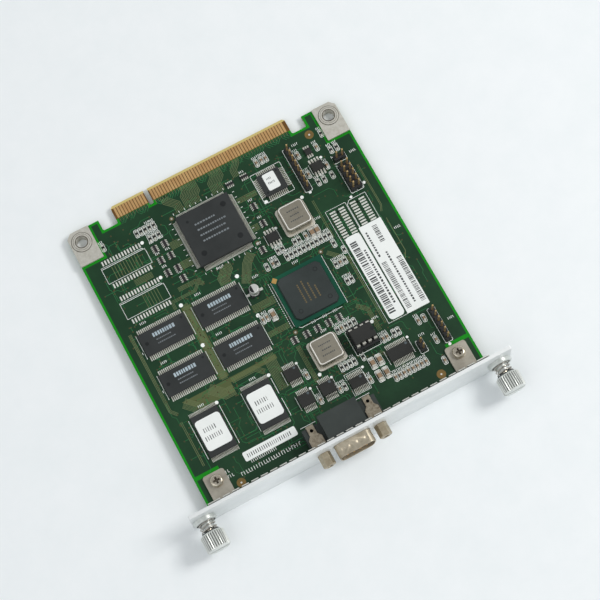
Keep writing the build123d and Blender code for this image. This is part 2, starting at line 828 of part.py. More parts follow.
# Jackscrews: hexagonal, tapped at the front, with a stud into the nut barrel
with BuildPart() as jackscrews:
    with BuildSketch(panel_face):
        with Locations(*[(x, port_height) for x in lock_columns]):
            RegularPolygon(jack_flats / 2, 6, major_radius=False)
    extrude(amount=jack_length)
    chamfer(jackscrews.edges().group_by(Axis.Y)[0], jack_chamfer)
    with BuildSketch(panel_face.offset(jack_length)):
        with Locations(*[(x, port_height) for x in lock_columns]):
            Circle(jack_bore / 2)
    extrude(amount=-jack_bore_depth, mode=Mode.SUBTRACT)
    with BuildSketch(panel_face):
        with Locations(*[(x, port_height) for x in lock_columns]):
            Circle(jack_stud / 2)
    extrude(amount=-jack_stud_length)
jackscrews.part.label = "jackscrews"
export_step(jackscrews.part, "parts/jackscrews.step")

# Captive thumbscrews. In each section local X runs to the front from the panel's face, local Y outwards.
well_bottom = ferrule_reach - well_depth
knob_back = ferrule_reach + knob_gap
washer_back = knob_back - washer_fit - washer_thickness
shank_back = sleeve_reach + thumb_travel + stop_gap
shank_front = shank_back + shank_length
thread_front = sleeve_reach - sleeve_lip - stop_gap
thread_end = -panel_thickness - thread_past_panel
neck_hole = neck_diameter + 2 * neck_fit
thread_hole = thread_diameter + 2 * thread_fit
for side, name in ((-1, "left"), (1, "right")):
    section = Plane(
        origin=(side * thumb_x, shoulder_y + panel_back_y - panel_thickness, card_top + panel_middle),
        x_dir=(0, -1, 0), z_dir=(-1, 0, 0))
    thumb_axis = Axis(section.origin, (0, -1, 0))
    face = Plane(origin=section.origin, x_dir=(1, 0, 0), z_dir=(0, -1, 0))

    with BuildPart() as ferrule:
        with BuildSketch(section):
            with BuildLine():
                Polyline(
                    (-panel_thickness, thread_hole / 2), (-panel_thickness, ferrule_neck / 2),
                    (0, ferrule_neck / 2), (0, ferrule_diameter / 2),
                    (ferrule_reach - ferrule_chamfer, ferrule_diameter / 2),
                    (ferrule_reach, ferrule_diameter / 2 - ferrule_chamfer), (ferrule_reach, well_diameter / 2),
                    (well_bottom, well_diameter / 2), (well_bottom, sleeve_diameter / 2),
                    (sleeve_reach, sleeve_diameter / 2), (sleeve_reach, neck_hole / 2),
                    (sleeve_reach - sleeve_lip, neck_hole / 2), (sleeve_reach - sleeve_lip, thread_hole / 2),
                    close=True)
            make_face()
        revolve(axis=thumb_axis)
    ferrule.part.label = f"{name}_ferrule"
    export_step(ferrule.part, f"parts/{name}_ferrule.step")

    with BuildPart() as captive_screw:
        with BuildSketch(section):
            with BuildLine():
                Polyline(
                    (thread_end, 0), (thread_end, thread_diameter / 2 - thread_chamfer),
                    (thread_end + thread_chamfer, thread_diameter / 2), (thread_front, thread_diameter / 2),
                    (thread_front, neck_diameter / 2), (shank_back, neck_diameter / 2),
                    (shank_back, shank_diameter / 2), (shank_front, shank_diameter / 2), (shank_front, 0),
                    close=True)
            make_face()
        revolve(axis=thumb_axis)
    captive_screw.part.label = f"{name}_captive_screw"
    export_step(captive_screw.part, f"parts/{name}_captive_screw.step")

    with BuildPart() as knob:
        with BuildSketch(face.offset(knob_back)):
            Circle(knob_diameter / 2)
            with PolarLocations(knob_diameter / 2, knob_flutes):
                Rectangle(knob_flute_width, knob_flute_width, rotation=45, mode=Mode.SUBTRACT)
        extrude(amount=knob_length)
        with BuildSketch(section):
            with BuildLine():
                Polyline(
                    (knob_back, 0), (knob_back, knob_diameter / 2 - knob_chamfer),
                    (knob_back + knob_chamfer, knob_diameter / 2),
                    (knob_back + knob_length - knob_chamfer, knob_diameter / 2),
                    (knob_back + knob_length, knob_diameter / 2 - knob_chamfer),
                    (knob_back + knob_length, 0), close=True)
            make_face()
        revolve(axis=thumb_axis, mode=Mode.INTERSECT)
        with BuildSketch(face.offset(knob_back)):
            Circle(knob_recess_diameter / 2)
        extrude(amount=shank_back - knob_back, mode=Mode.SUBTRACT)
        with BuildSketch(face.offset(shank_back)):
            Circle(shank_diameter / 2)
        extrude(amount=shank_length, mode=Mode.SUBTRACT)
        with BuildSketch(face.offset(knob_back + knob_length)):
            Rectangle(knob_diameter, slot_width)
        extrude(amount=-slot_depth, mode=Mode.SUBTRACT)
    knob.part.label = f"{name}_knob"
    export_step(knob.part, f"parts/{name}_knob.step")

    with BuildPart() as thrust_washer:
        with BuildSketch(face.offset(washer_back)):
            Circle(washer_diameter / 2)
            Circle(washer_bore / 2, mode=Mode.SUBTRACT)
        extrude(amount=washer_thickness)
    thrust_washer.part.label = f"{name}_washer"
    export_step(thrust_washer.part, f"parts/{name}_washer.step")

    spring_start = well_bottom + spring_gap + spring_wire / 2
    spring_length = washer_back - spring_gap - spring_wire / 2 - spring_start
    with BuildPart() as spring:
        with BuildLine() as coil:
            Helix(
                spring_length / spring_turns, spring_length, spring_diameter / 2,
                center=face.offset(spring_start).origin, direction=(0, -1, 0))
        with BuildSketch(Plane(origin=coil.line @ 0, z_dir=coil.line % 0)):
            Circle(spring_wire / 2)
        sweep(is_frenet=True)
    spring.part.label = f"{name}_spring"
    export_step(spring.part, f"parts/{name}_spring.step")

# Square chips with leads on four sides
bridge_shoulder = chip_group("bridge_chip", [bridge_at], bridge_body, bridge_body, bridge_height)
lead_group("bridge_leads", [
    ([bridge_at], all_sides, bridge_body / 2, bridge_span, bridge_shoulder, bridge_leads_a_side, bridge_pitch),
])
controller_shoulder = chip_group(
    "controller_chip", [controller_at], controller_body, controller_body, controller_height)
lead_group("controller_leads", [
    ([controller_at], all_sides, controller_body / 2, controller_span, controller_shoulder,
     controller_leads_a_side, controller_pitch),
])

# Memory chips, flash chips and gates, with leads on two sides
memory_shoulder = chip_group("memory_chips", memory_places, memory_length, memory_width, memory_height)
lead_group("memory_leads", [
    (memory_places, both_sides, memory_width / 2, memory_span, memory_shoulder,
     memory_leads_a_side, memory_pitch),
])
flash_shoulder = chip_group("flash_chips", flash_places, flash_width, flash_length, flash_height)
lead_group("flash_leads", [
    (flash_places, both_sides, flash_length / 2, flash_span, flash_shoulder, flash_leads_a_side, flash_pitch),
])
gate_shoulder = chip_group("gate_chips", gate_places, gate_length, gate_width, gate_height)
lead_group("gate_leads", [
    (gate_places, both_sides, gate_width / 2, gate_span, gate_shoulder, gate_leads_a_side, gate_pitch),
])
reset_shoulder = chip_group("reset_chip", [reset_at], reset_length, reset_width, reset_height)
lead_group("reset_leads", [
    ([reset_at], both_sides, reset_width / 2, reset_span, reset_shoulder, reset_leads_a_side, reset_pitch),
])

# Driver chips of three lengths, one node for the bodies and one for the leads
driver_shoulder = body_lift + (driver_height - body_lift) / 2
switch_shoulder = body_lift + (switch_height - body_lift) / 2
driver_body = moulded_body(driver_length, driver_width, body_lift, driver_shoulder, driver_height)
switch_body = moulded_body(switch_length, switch_width, body_lift, switch_shoulder, switch_height)
line_driver_body = moulded_body(line_driver_length, driver_width, body_lift, driver_shoulder, driver_height)
with BuildPart() as driver_chips:
    with Locations(*[on_deck(place) for place in driver_places]):
        add(driver_body)
    with Locations(on_deck(switch_at)):
        add(switch_body)
    with Locations(on_deck(line_driver_at)):
        add(line_driver_body)
driver_chips.part.label = "driver_chips"
export_step(driver_chips.part, "parts/driver_chips.step")
lead_group("driver_leads", [
    (driver_places, both_sides, driver_width / 2, driver_span, driver_shoulder,
     driver_leads_a_side, driver_pitch),
    ([switch_at], both_sides, switch_width / 2, switch_span, switch_shoulder,
     switch_leads_a_side, driver_pitch),
    ([line_driver_at], both_sides, driver_width / 2, driver_span, driver_shoulder,
     line_driver_leads_a_side, driver_pitch),
])

# Ball grid processor: solder balls in two rings, carrier board, moulded cap
ball_steps = range(balls_a_side)
outer_rings = [
    (processor_at[0] + (i - (balls_a_side - 1) / 2) * ball_pitch,
     processor_at[1] + (j - (balls_a_side - 1) / 2) * ball_pitch)
    for i in ball_steps for j in ball_steps
    if min(i, j, balls_a_side - 1 - i, balls_a_side - 1 - j) < 2
]
with BuildPart() as processor_balls:
    with BuildSketch(deck.offset(tin_height)):
        with Locations(*outer_rings):
            Circle(ball_diameter / 2)
    extrude(amount=ball_height)
processor_balls.part.label = "processor_balls"
export_step(processor_balls.part, "parts/processor_balls.step")

with BuildPart() as processor_substrate:
    with BuildSketch(deck.offset(tin_height + ball_height)):
        with Locations(processor_at):
            Rectangle(substrate_size, substrate_size)
    extrude(amount=substrate_height)
processor_substrate.part.label = "processor_substrate"
export_step(processor_substrate.part, "parts/processor_substrate.step")

with BuildPart() as processor_cap:
    with BuildSketch(deck.offset(tin_height + ball_height + substrate_height)) as cap_outline:
        with Locations(processor_at):
            Rectangle(cap_size, cap_size)
        chamfer(cap_outline.vertices(), cap_corner)
    extrude(amount=cap_height, taper=cap_draft)
processor_cap.part.label = "processor_cap"
export_step(processor_cap.part, "parts/processor_cap.step")

# Clock oscillators
with BuildPart() as clock_bases:
    with BuildSketch(deck.offset(tin_height)):
        with Locations(*clock_places):
            RectangleRounded(clock_base, clock_base, clock_base_corner)
    extrude(amount=clock_base_height)
clock_bases.part.label = "clock_bases"
export_step(clock_bases.part, "parts/clock_bases.step")

with BuildPart() as clock_cans:
    with BuildSketch(deck.offset(tin_height + clock_base_height)):
        with Locations(*clock_places):
            RectangleRounded(clock_can, clock_can, clock_can_corner)
    extrude(amount=clock_can_height)
    fillet(clock_cans.edges().group_by(Axis.Z)[-1], clock_can_edge)
clock_cans.part.label = "clock_cans"
export_step(clock_cans.part, "parts/clock_cans.step")

# Boot chip's socket and its contacts
slot_floor = socket_height - socket_slot_depth
with BuildPart() as boot_socket:
    with BuildSketch(deck):
        with Locations(socket_at):
            Rectangle(socket_size, socket_size)
            Rectangle(socket_window_length, socket_window_width, mode=Mode.SUBTRACT)
    extrude(amount=socket_height)
    with BuildSketch(deck.offset(slot_floor)):
        with Locations(*socket_pins):
            Rectangle(socket_slot_length, socket_slot_width)
    extrude(amount=socket_slot_depth, mode=Mode.SUBTRACT)
    with BuildSketch(deck):
        with Locations(*socket_pins):
            Rectangle(contact_tail_length, contact_tail_width)
    extrude(amount=slot_floor, mode=Mode.SUBTRACT)
boot_socket.part.label = "boot_socket"
export_step(boot_socket.part, "parts/boot_socket.step")

with BuildPart() as socket_contacts:
    with BuildSketch(underside.offset(-contact_tail_reach)):
        with Locations(*socket_pins):
            Rectangle(contact_tail_length, contact_tail_width)
    extrude(amount=contact_tail_reach + card_thickness + slot_floor)
socket_contacts.part.label = "socket_contacts"
export_step(socket_contacts.part, "parts/socket_contacts.step")

# Boot chip, its leads bent down into the socket
boot_bottom = socket_height + boot_lift
boot_shoulder = boot_bottom + boot_height / 2
boot_body = moulded_body(boot_length, boot_width, boot_bottom, boot_shoulder, boot_bottom + boot_height)
with BuildPart() as boot_chip:
    with Locations(on_deck(socket_at)):
        add(boot_body)
boot_chip.part.label = "boot_chip"
export_step(boot_chip.part, "parts/boot_chip.step")

lead_out = socket_row_spacing / 2 + boot_lead_metal / 2
with BuildPart() as boot_lead:
    with BuildSketch(Plane.YZ.offset(-boot_lead_width / 2)):
        with BuildLine():
            Polyline(
                (boot_width / 2, boot_shoulder + boot_lead_metal / 2),
                (lead_out, boot_shoulder + boot_lead_metal / 2),
                (lead_out, socket_height), (lead_out - boot_lead_metal, socket_height),
                (lead_out - boot_lead_metal, boot_shoulder - boot_lead_metal / 2),
                (boot_width / 2, boot_shoulder - boot_lead_metal / 2), close=True)
        make_face()
    extrude(amount=boot_lead_width)
    with BuildSketch(Plane.XY.offset(socket_height)):
        with Locations((0, socket_row_spacing / 2)):
            Rectangle(boot_tip_width, boot_lead_metal)
    extrude(amount=-boot_tip_depth)
boot_lead_places = [
    on_deck(socket_at, turn) * Location((x, 0, 0)) for turn in both_sides for x in socket_columns
]
with BuildPart() as boot_leads:
    with Locations(*boot_lead_places):
        add(boot_lead.part)
boot_leads.part.label = "boot_leads"
export_step(boot_leads.part, "parts/boot_leads.step")

# Smoothing capacitor: moulded base and round can with a rolled groove
with BuildPart() as smoother_foot:
    with BuildSketch(deck.offset(tin_height)) as foot_outline:
        with Locations(smoother_at):
            Rectangle(smoother_base, smoother_base)
        chamfer(foot_outline.vertices().group_by(Axis.X)[-1], smoother_base_corner)
    extrude(amount=smoother_base_height)
smoother_foot.part.label = "smoother_base"
export_step(smoother_foot.part, "parts/smoother_base.step")

can_low = tin_height + smoother_base_height
can_section = Plane(
    origin=(smoother_at[0], shoulder_y + smoother_at[1], card_top), x_dir=(1, 0, 0), z_dir=(0, -1, 0))
with BuildPart() as smoother_body:
    with BuildSketch(can_section) as can_profile:
        with Locations((0, can_low)):
            Rectangle(smoother_can / 2, smoother_height - can_low, align=(Align.MIN, Align.MIN))
        fillet(can_profile.vertices().group_by(Axis.Y)[-1].sort_by(Axis.X)[-1], smoother_edge)
        with Locations((smoother_can / 2, smoother_waist_height)):
            Rectangle(2 * smoother_waist, smoother_waist_length, mode=Mode.SUBTRACT)
    revolve(axis=Axis(can_section.origin, (0, 0, 1)))
smoother_body.part.label = "smoother_can"
export_step(smoother_body.part, "parts/smoother_can.step")

# Pin headers: notched bodies and square pins
with BuildSketch() as header_cell:
    Rectangle(header_pitch, header_pitch)
    chamfer(header_cell.vertices(), header_notch)
with BuildPart() as header_bodies:
    with BuildSketch(deck):
        with Locations(*all_header_pins):
            add(header_cell.sketch)
        for middle, across, along in headers:
            with Locations(middle):
                Rectangle(across * header_pitch - 2 * header_notch, along * header_pitch - 2 * header_notch)
        with Locations(*all_header_pins):
            Rectangle(header_pin, header_pin, mode=Mode.SUBTRACT)
    extrude(amount=header_body_height)
header_bodies.part.label = "header_bodies"
export_step(header_bodies.part, "parts/header_bodies.step")

with BuildPart() as header_pins:
    with BuildSketch(underside.offset(-header_pin_tail)):
        with Locations(*all_header_pins):
            Rectangle(header_pin, header_pin)
    extrude(amount=header_pin_tail + card_thickness + header_pin_rise)
    chamfer(header_pins.edges().group_by(Axis.Z)[-1], header_pin_point)
header_pins.part.label = "header_pins"
export_step(header_pins.part, "parts/header_pins.step")

# Chip resistors and capacitors
resistor_places = [(x, resistor_row) for x in resistor_columns] + list(other_resistors)
capacitor_places = [(x, filter_row) for x in filter_columns] + list(other_capacitors)
for name, places, length, width, height in (
    ("chip_resistors", resistor_places, chip_length, chip_width, resistor_height),
    ("chip_capacitors", capacitor_places, chip_length, chip_width, capacitor_height),
    ("bulk_capacitors", bulk_places, bulk_length, bulk_width, bulk_height),
):
    with BuildPart() as small_parts:
        with BuildSketch(deck.offset(tin_height)):
            with Locations(*places):
                Rectangle(width, length)
        extrude(amount=height)
    small_parts.part.label = name
    export_step(small_parts.part, f"parts/{name}.step")

# Resistor arrays, notched between their four contacts on each side
with BuildSketch() as array_outline:
    Rectangle(array_width, array_length)
    with Locations(*[
        (side * array_width / 2, (i - 1) * array_pitch) for side in (-1, 1) for i in range(3)
    ]):
        Rectangle(2 * array_notch, 2 * array_notch, rotation=45, mode=Mode.SUBTRACT)
with BuildPart() as resistor_arrays:
    with BuildSketch(deck.offset(tin_height)):
        with Locations(*upright_arrays):
            add(array_outline.sketch)
        with Locations(*[Location((x, y, 0), (0, 0, 90)) for x, y in flat_arrays]):
            add(array_outline.sketch)
    extrude(amount=array_height)
resistor_arrays.part.label = "resistor_arrays"
export_step(resistor_arrays.part, "parts/resistor_arrays.step")

# Paper labels on the card and on chips
flash_labels = [(place, flash_label_size, flash_label_corner) for place in flash_places]
with BuildPart() as paper_labels:
    for height, labels in (
        (0, card_labels), (controller_height, [controller_label]), (flash_height, flash_labels),
    ):
        with BuildSketch(deck.offset(height)):
            for middle, size, corner in labels:
                with Locations(middle):
                    RectangleRounded(*size, corner)
        extrude(amount=label_paper)
paper_labels.part.label = "paper_labels"
export_step(paper_labels.part, "parts/paper_labels.step")
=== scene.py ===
import json
import math
import random

import bmesh
import bpy
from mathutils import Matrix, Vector


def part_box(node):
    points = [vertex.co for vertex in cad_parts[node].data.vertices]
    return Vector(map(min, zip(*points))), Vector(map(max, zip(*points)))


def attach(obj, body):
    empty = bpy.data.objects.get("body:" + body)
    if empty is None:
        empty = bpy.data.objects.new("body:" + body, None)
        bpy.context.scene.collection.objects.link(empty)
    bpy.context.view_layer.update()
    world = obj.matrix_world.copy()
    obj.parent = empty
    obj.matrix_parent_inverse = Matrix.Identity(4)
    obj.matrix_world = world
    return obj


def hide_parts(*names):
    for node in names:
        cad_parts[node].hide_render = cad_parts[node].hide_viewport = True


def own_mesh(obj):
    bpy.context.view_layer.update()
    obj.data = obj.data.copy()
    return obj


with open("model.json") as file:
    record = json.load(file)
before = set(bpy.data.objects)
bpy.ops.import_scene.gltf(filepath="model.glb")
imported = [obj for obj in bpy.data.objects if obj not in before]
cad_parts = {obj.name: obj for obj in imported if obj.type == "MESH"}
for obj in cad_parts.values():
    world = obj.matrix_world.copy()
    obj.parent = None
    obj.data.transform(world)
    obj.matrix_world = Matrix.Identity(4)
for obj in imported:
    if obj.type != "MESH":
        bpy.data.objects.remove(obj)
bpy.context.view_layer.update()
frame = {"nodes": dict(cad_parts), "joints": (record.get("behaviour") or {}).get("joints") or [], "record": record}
scene = bpy.context.scene
scene.view_settings.view_transform = "Standard"

mm = 0.001
boardLow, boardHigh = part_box("circuit_board")
shoulderLine = -2.9  # mm, the card's back shoulders from the tongue's end
cardTop = boardHigh.z / mm
underside = (boardLow.z - boardHigh.z) / mm  # the card's lower face, from its upper one
halfCard = boardHigh.x / mm
cardDepth = -boardLow.y / mm + shoulderLine


def onCard(x, y, height=0.0):  # card millimetres to metres
    return Vector((x, y + shoulderLine, cardTop + height)) * mm


# Colours and finishes

def paint(red, green, blue):  # 0 to 255 as seen on a screen, to a shader's colour
    channels = []
    for level in (red, green, blue):
        share = level / 255
        channels.append(share / 12.92 if share <= 0.04045 else ((share + 0.055) / 1.055) ** 2.4)
    return (*channels, 1.0)


def newGroup(name, kind, inputs, outputs):
    group = bpy.data.node_groups.new(name, kind)
    for label, socketType, value in inputs:
        socket = group.interface.new_socket(label, in_out="INPUT", socket_type=socketType)
        if value is not None:
            socket.default_value = value
    for label, socketType in outputs:
        group.interface.new_socket(label, in_out="OUTPUT", socket_type=socketType)
    return group, group.nodes.new("NodeGroupInput"), group.nodes.new("NodeGroupOutput")


def addNode(tree, kind, values=None, **settings):  # values: of its inputs
    node = tree.nodes.new(kind)
    for label, setting in settings.items():
        setattr(node, label, setting)
    for label, value in (values or {}).items():
        node.inputs[label].default_value = value
    return node


def wire(tree, *runs):  # (node, its output, next node, its input) each
    for source, output, target, entry in runs:
        tree.links.new(source.outputs[output], target.inputs[entry])


def makeGrainGroup():  # fine surface grain, as a bumped normal
    group, given, result = newGroup(
        "surfaceGrain", "ShaderNodeTree",
        [("Scale", "NodeSocketFloat", 2000.0), ("Stretch", "NodeSocketVector", (1, 1, 1)),
         ("Depth", "NodeSocketFloat", 0.00001)],
        [("Normal", "NodeSocketVector")])
    place = addNode(group, "ShaderNodeTexCoord")
    stretched = addNode(group, "ShaderNodeVectorMath", operation="MULTIPLY")
    noise = addNode(group, "ShaderNodeTexNoise", {"Detail": 3})
    bump = addNode(group, "ShaderNodeBump", {"Strength": 0.6})
    wire(group, (place, "Object", stretched, 0), (given, "Stretch", stretched, 1),
         (stretched, 0, noise, "Vector"), (given, "Scale", noise, "Scale"), (noise, "Fac", bump, "Height"),
         (given, "Depth", bump, "Distance"), (bump, "Normal", result, "Normal"))
    return group


def makeHandledGroup():  # broad smudges and small scuffs, as a colour and a roughness
    group, given, result = newGroup(
        "handledSurface", "ShaderNodeTree",
        [("Colour", "NodeSocketColor", (0.5, 0.5, 0.5, 1)),
         ("Worn Colour", "NodeSocketColor", (0.6, 0.6, 0.6, 1)),
         ("Roughness", "NodeSocketFloat", 0.4), ("Spread", "NodeSocketFloat", 0.1),
         ("Scale", "NodeSocketFloat", 60.0)],
        [("Colour", "NodeSocketColor"), ("Roughness", "NodeSocketFloat")])
    place = addNode(group, "ShaderNodeTexCoord")
    broad = addNode(group, "ShaderNodeTexNoise", {"Detail": 6, "Roughness": 0.65})
    ramp = addNode(group, "ShaderNodeMapRange", {"From Min": 0.35, "From Max": 0.7})
    mix = addNode(group, "ShaderNodeMix", data_type="RGBA")
    swing = addNode(group, "ShaderNodeMath", operation="MULTIPLY_ADD")
    wire(group, (place, "Object", broad, "Vector"), (given, "Scale", broad, "Scale"),
         (broad, "Fac", ramp, "Value"), (ramp, "Result", mix, "Factor"), (given, "Colour", mix, "A"),
         (given, "Worn Colour", mix, "B"), (ramp, "Result", swing, 0), (given, "Spread", swing, 1),
         (given, "Roughness", swing, 2), (mix, "Result", result, "Colour"), (swing, 0, result, "Roughness"))
    return group


grainGroup = makeGrainGroup()
handledGroup = makeHandledGroup()


def makeFinish(name, colour, worn, rough, spread=0.1, metal=0.0, grain=2500, depth=4, stretch=(1, 1, 1),
               patch=60, gloss=0.5):  # depth of the grain in micrometres, patch the scale of the wear
    material = bpy.data.materials.new(name)
    material.use_nodes = True
    tree = material.node_tree
    shader = tree.nodes["Principled BSDF"]
    shader.inputs["Metallic"].default_value = metal
    shader.inputs["Specular IOR Level"].default_value = gloss
    handled = addNode(tree, "ShaderNodeGroup", {"Colour": paint(*colour), "Worn Colour": paint(*worn),
                                                "Roughness": rough, "Spread": spread, "Scale": patch},
                      node_tree=handledGroup)
    grained = addNode(tree, "ShaderNodeGroup", {"Scale": grain, "Stretch": stretch, "Depth": depth / 1000000},
                      node_tree=grainGroup)
    wire(tree, (handled, "Colour", shader, "Base Color"), (handled, "Roughness", shader, "Roughness"),
         (grained, "Normal", shader, "Normal"))
    return material


finishes = {  # of the object's parts, by what they are seen to be made of
    "pour": makeFinish("maskOverCopper", (17, 52, 30), (24, 64, 36), 0.36, 0.06, grain=900, depth=6,
                       gloss=0.32),
    "routing": makeFinish("maskOverTrace", (40, 126, 72), (36, 100, 54), 0.36, 0.06, gloss=0.3),
    "bus": makeFinish("paleMaskOverTrace", (112, 122, 82), (90, 106, 70), 0.38, 0.06, gloss=0.3),
    "olive": makeFinish("paleMaskOverLaminate", (78, 90, 52), (90, 98, 60), 0.38, 0.06, gloss=0.3),
    "print": makeFinish("whiteBoardPrint", (250, 252, 250), (238, 242, 238), 0.6, gloss=0.3),
    "solder": makeFinish("brightSolder", (232, 230, 220), (190, 188, 178), 0.3, 0.15, 0.6, patch=400),
    "pad": makeFinish("tinnedPad", (228, 229, 222), (200, 202, 194), 0.34, 0.12, 0.25, patch=400),
    "contactGold": makeFinish("contactGold", (224, 184, 126), (196, 152, 100), 0.32, 0.14, 0.6, grain=3000,
                              stretch=(1, 0.05, 1), patch=200),
    "gold": makeFinish("goldPlate", (218, 176, 104), (190, 150, 88), 0.3, 0.14, 0.6, patch=300),
    "dullGold": makeFinish("tarnishedGold", (134, 106, 52), (108, 88, 46), 0.5, 0.1, 0.3, patch=300),
    "pin": makeFinish("headerPinPlate", (214, 184, 128), (170, 142, 98), 0.28, 0.14, 0.6, patch=500),
    "via": makeFinish("tentedVia", (98, 88, 54), (78, 76, 46), 0.4, 0.1, 0.2),
    # painted shade: near-black discs stand for the shade inside holes the card has no cut for
    "dark": makeFinish("paintedHoleShade", (14, 16, 14), (8, 10, 8), 0.8, gloss=0.2),
    "moulding": makeFinish("chipMoulding", (45, 48, 48), (55, 58, 58), 0.5, 0.1, grain=5200, depth=10,
                           gloss=0.26),
    "smallMoulding": makeFinish("smallChipMoulding", (36, 37, 35), (46, 47, 45), 0.46, 0.1, grain=5200,
                                depth=10, gloss=0.3),
    "mouldMark": makeFinish("polishedMouldMark", (28, 31, 32), (36, 39, 40), 0.34, 0.08, gloss=0.3),
    "dimple": makeFinish("paleDimple", (88, 98, 101), (76, 86, 90), 0.5, gloss=0.3),
    "chipPrint": makeFinish("greyChipPrint", (124, 131, 135), (102, 108, 112), 0.6, gloss=0.3),
    "palePrint": makeFinish("paleChipPrint", (178, 194, 202), (152, 166, 174), 0.6, gloss=0.3),
    "brownPrint": makeFinish("brownChipPrint", (116, 100, 68), (92, 82, 60), 0.6, gloss=0.3),
    "capMoulding": makeFinish("processorMoulding", (45, 52, 51), (55, 62, 61), 0.46, 0.08, grain=5200,
                              depth=8, gloss=0.28),
    "substrate": makeFinish("carrierLaminate", (2, 70, 52), (6, 82, 58), 0.34, 0.06, gloss=0.3),
    "panel": makeFinish("satinAluminium", (238, 241, 241), (226, 230, 230), 0.4, 0.1, 0.25, grain=1600,
                        depth=3, stretch=(0.04, 1, 1)),
    "nickel": makeFinish("satinNickel", (214, 212, 203), (188, 185, 174), 0.42, 0.14, 0.55, grain=2600,
                         depth=12, patch=500),
    "bracket": makeFinish("brushedBracketPlate", (192, 187, 174), (160, 154, 142), 0.4, 0.14, 0.6, grain=2200,
                          depth=10, stretch=(1, 0.1, 1), patch=160),
    "lock": makeFinish("wornLockPlate", (196, 186, 166), (120, 108, 90), 0.24, 0.2, 0.8, patch=900),
    "shell": makeFinish("tinnedShell", (200, 190, 170), (160, 150, 130), 0.34, 0.1, 0.75, patch=300),
    "steel": makeFinish("brightSteel", (220, 212, 196), (180, 170, 152), 0.16, 0.12, 0.88, patch=300),
    "jack": makeFinish("wornJackscrewPlate", (188, 177, 154), (150, 138, 116), 0.32, 0.12, 0.75, patch=500),
    "spring": makeFinish("springWire", (196, 192, 184), (160, 156, 150), 0.22, 0.1, 0.9, patch=300),
    "knob": makeFinish("knurledNickel", (216, 220, 216), (190, 194, 190), 0.28, 0.12, 0.75, patch=200),
    "can": makeFinish("clockCan", (180, 174, 158), (150, 144, 130), 0.28, 0.12, 0.85, grain=3000, depth=8,
                      patch=400),
    "canFlange": makeFinish("clockCanFlange", (230, 226, 214), (204, 199, 186), 0.28, 0.12, 0.6, patch=300),
    # painted highlight: a pale band standing for light on the cans' rounded rims
    "canRim": makeFinish("paintedRimHighlight", (246, 244, 238), (232, 229, 221), 0.3, 0.06, 0.2, patch=300),
    # painted shade for rings and recesses that lie in shade
    "groove": makeFinish("shadedGroove", (84, 78, 66), (70, 64, 54), 0.5, 0.1, 0.3, patch=300),
    "drawnCan": makeFinish("drawnAluminium", (228, 229, 226), (206, 207, 203), 0.3, 0.1, 0.5, patch=200),
    "black": makeFinish("blackMoulding", (32, 34, 35), (42, 44, 45), 0.52, 0.1, grain=3400, depth=10,
                        gloss=0.3),
    "housing": makeFinish("greyBlackMoulding", (50, 56, 54), (60, 66, 64), 0.54, 0.1, grain=3400, depth=10,
                          gloss=0.28),
    "washer": makeFinish("darkFibre", (48, 54, 56), (66, 72, 74), 0.5),
    "resistor": makeFinish("resistorGlaze", (32, 32, 33), (44, 44, 45), 0.36, 0.1, patch=300, gloss=0.4),
    "ceramic": makeFinish("tanCeramic", (150, 124, 96), (128, 108, 86), 0.5, 0.1, grain=4000, patch=300),
    "paper": makeFinish("whiteLabel", (240, 243, 241), (230, 234, 232), 0.62, 0.05, grain=4200, depth=6,
                        gloss=0.3),
    "ink": makeFinish("labelInk", (62, 65, 66), (80, 83, 84), 0.6, gloss=0.3),
}


def layOver(material, mask, colour, under=False):  # a colour where the mask is 1, or everywhere else
    tree = material.node_tree
    base = tree.nodes["Principled BSDF"].inputs["Base Color"]
    covering, covered = ("A", "B") if under else ("B", "A")
    mix = addNode(tree, "ShaderNodeMix", {covering: paint(*colour)}, data_type="RGBA")
    tree.links.new(base.links[0].from_socket, mix.inputs[covered])
    tree.links.new(mask, mix.inputs["Factor"])
    tree.links.new(mix.outputs["Result"], base)


def sumsOn(material):  # a function that adds Math nodes, and the piece's own X, Y and Z
    tree = material.node_tree
    apart = addNode(tree, "ShaderNodeSeparateXYZ")
    wire(tree, (addNode(tree, "ShaderNodeTexCoord"), "Object", apart, 0))

    def reckon(operation, *given, clamped=False):  # sockets are linked, numbers are set
        node = addNode(tree, "ShaderNodeMath", operation=operation, use_clamp=clamped)
        for entry, value in zip(node.inputs, given):
            if isinstance(value, (int, float)):
                entry.default_value = value
            else:
                tree.links.new(value, entry)
        return node.outputs[0]

    return reckon, *[apart.outputs[axis] for axis in "XYZ"]


cardZones = {"tongueHalf": 40.6, "bareFrom": -6.1, "bevelFrom": -1.2, "skin": 0.02, "bare": (104, 72, 34),
             "side": (124, 132, 66), "bevel": (204, 186, 118)}


def makeCardFinish():  # mask on the faces, bare laminate on the sides, the bevel and between the contacts
    material = makeFinish("bareCardMask", (8, 130, 12), (12, 140, 18), 0.36, 0.06, grain=900, depth=6,
                          gloss=0.24)
    reckon, x, y, z = sumsOn(material)
    beside = reckon("GREATER_THAN", reckon("ABSOLUTE", x), cardZones["tongueHalf"] * mm)
    faces = reckon("GREATER_THAN", reckon("ABSOLUTE", z), (cardTop - cardZones["skin"]) * mm)

    def onTongue(limit):  # past a line across the card, between the two relief notches
        return reckon("SUBTRACT", reckon("GREATER_THAN", y, limit * mm), beside, clamped=True)

    layOver(material, onTongue(cardZones["bareFrom"]), cardZones["bare"])
    layOver(material, faces, cardZones["side"], under=True)
    layOver(material, onTongue(cardZones["bevelFrom"]), cardZones["bevel"])
    return material


# painted shade for the knobs' flutes, darkest at the flute floor
knobLook = {"fluteFloor": 4.58, "fluteEdge": 4.86, "endBand": 0.55, "shade": (118, 122, 117)}


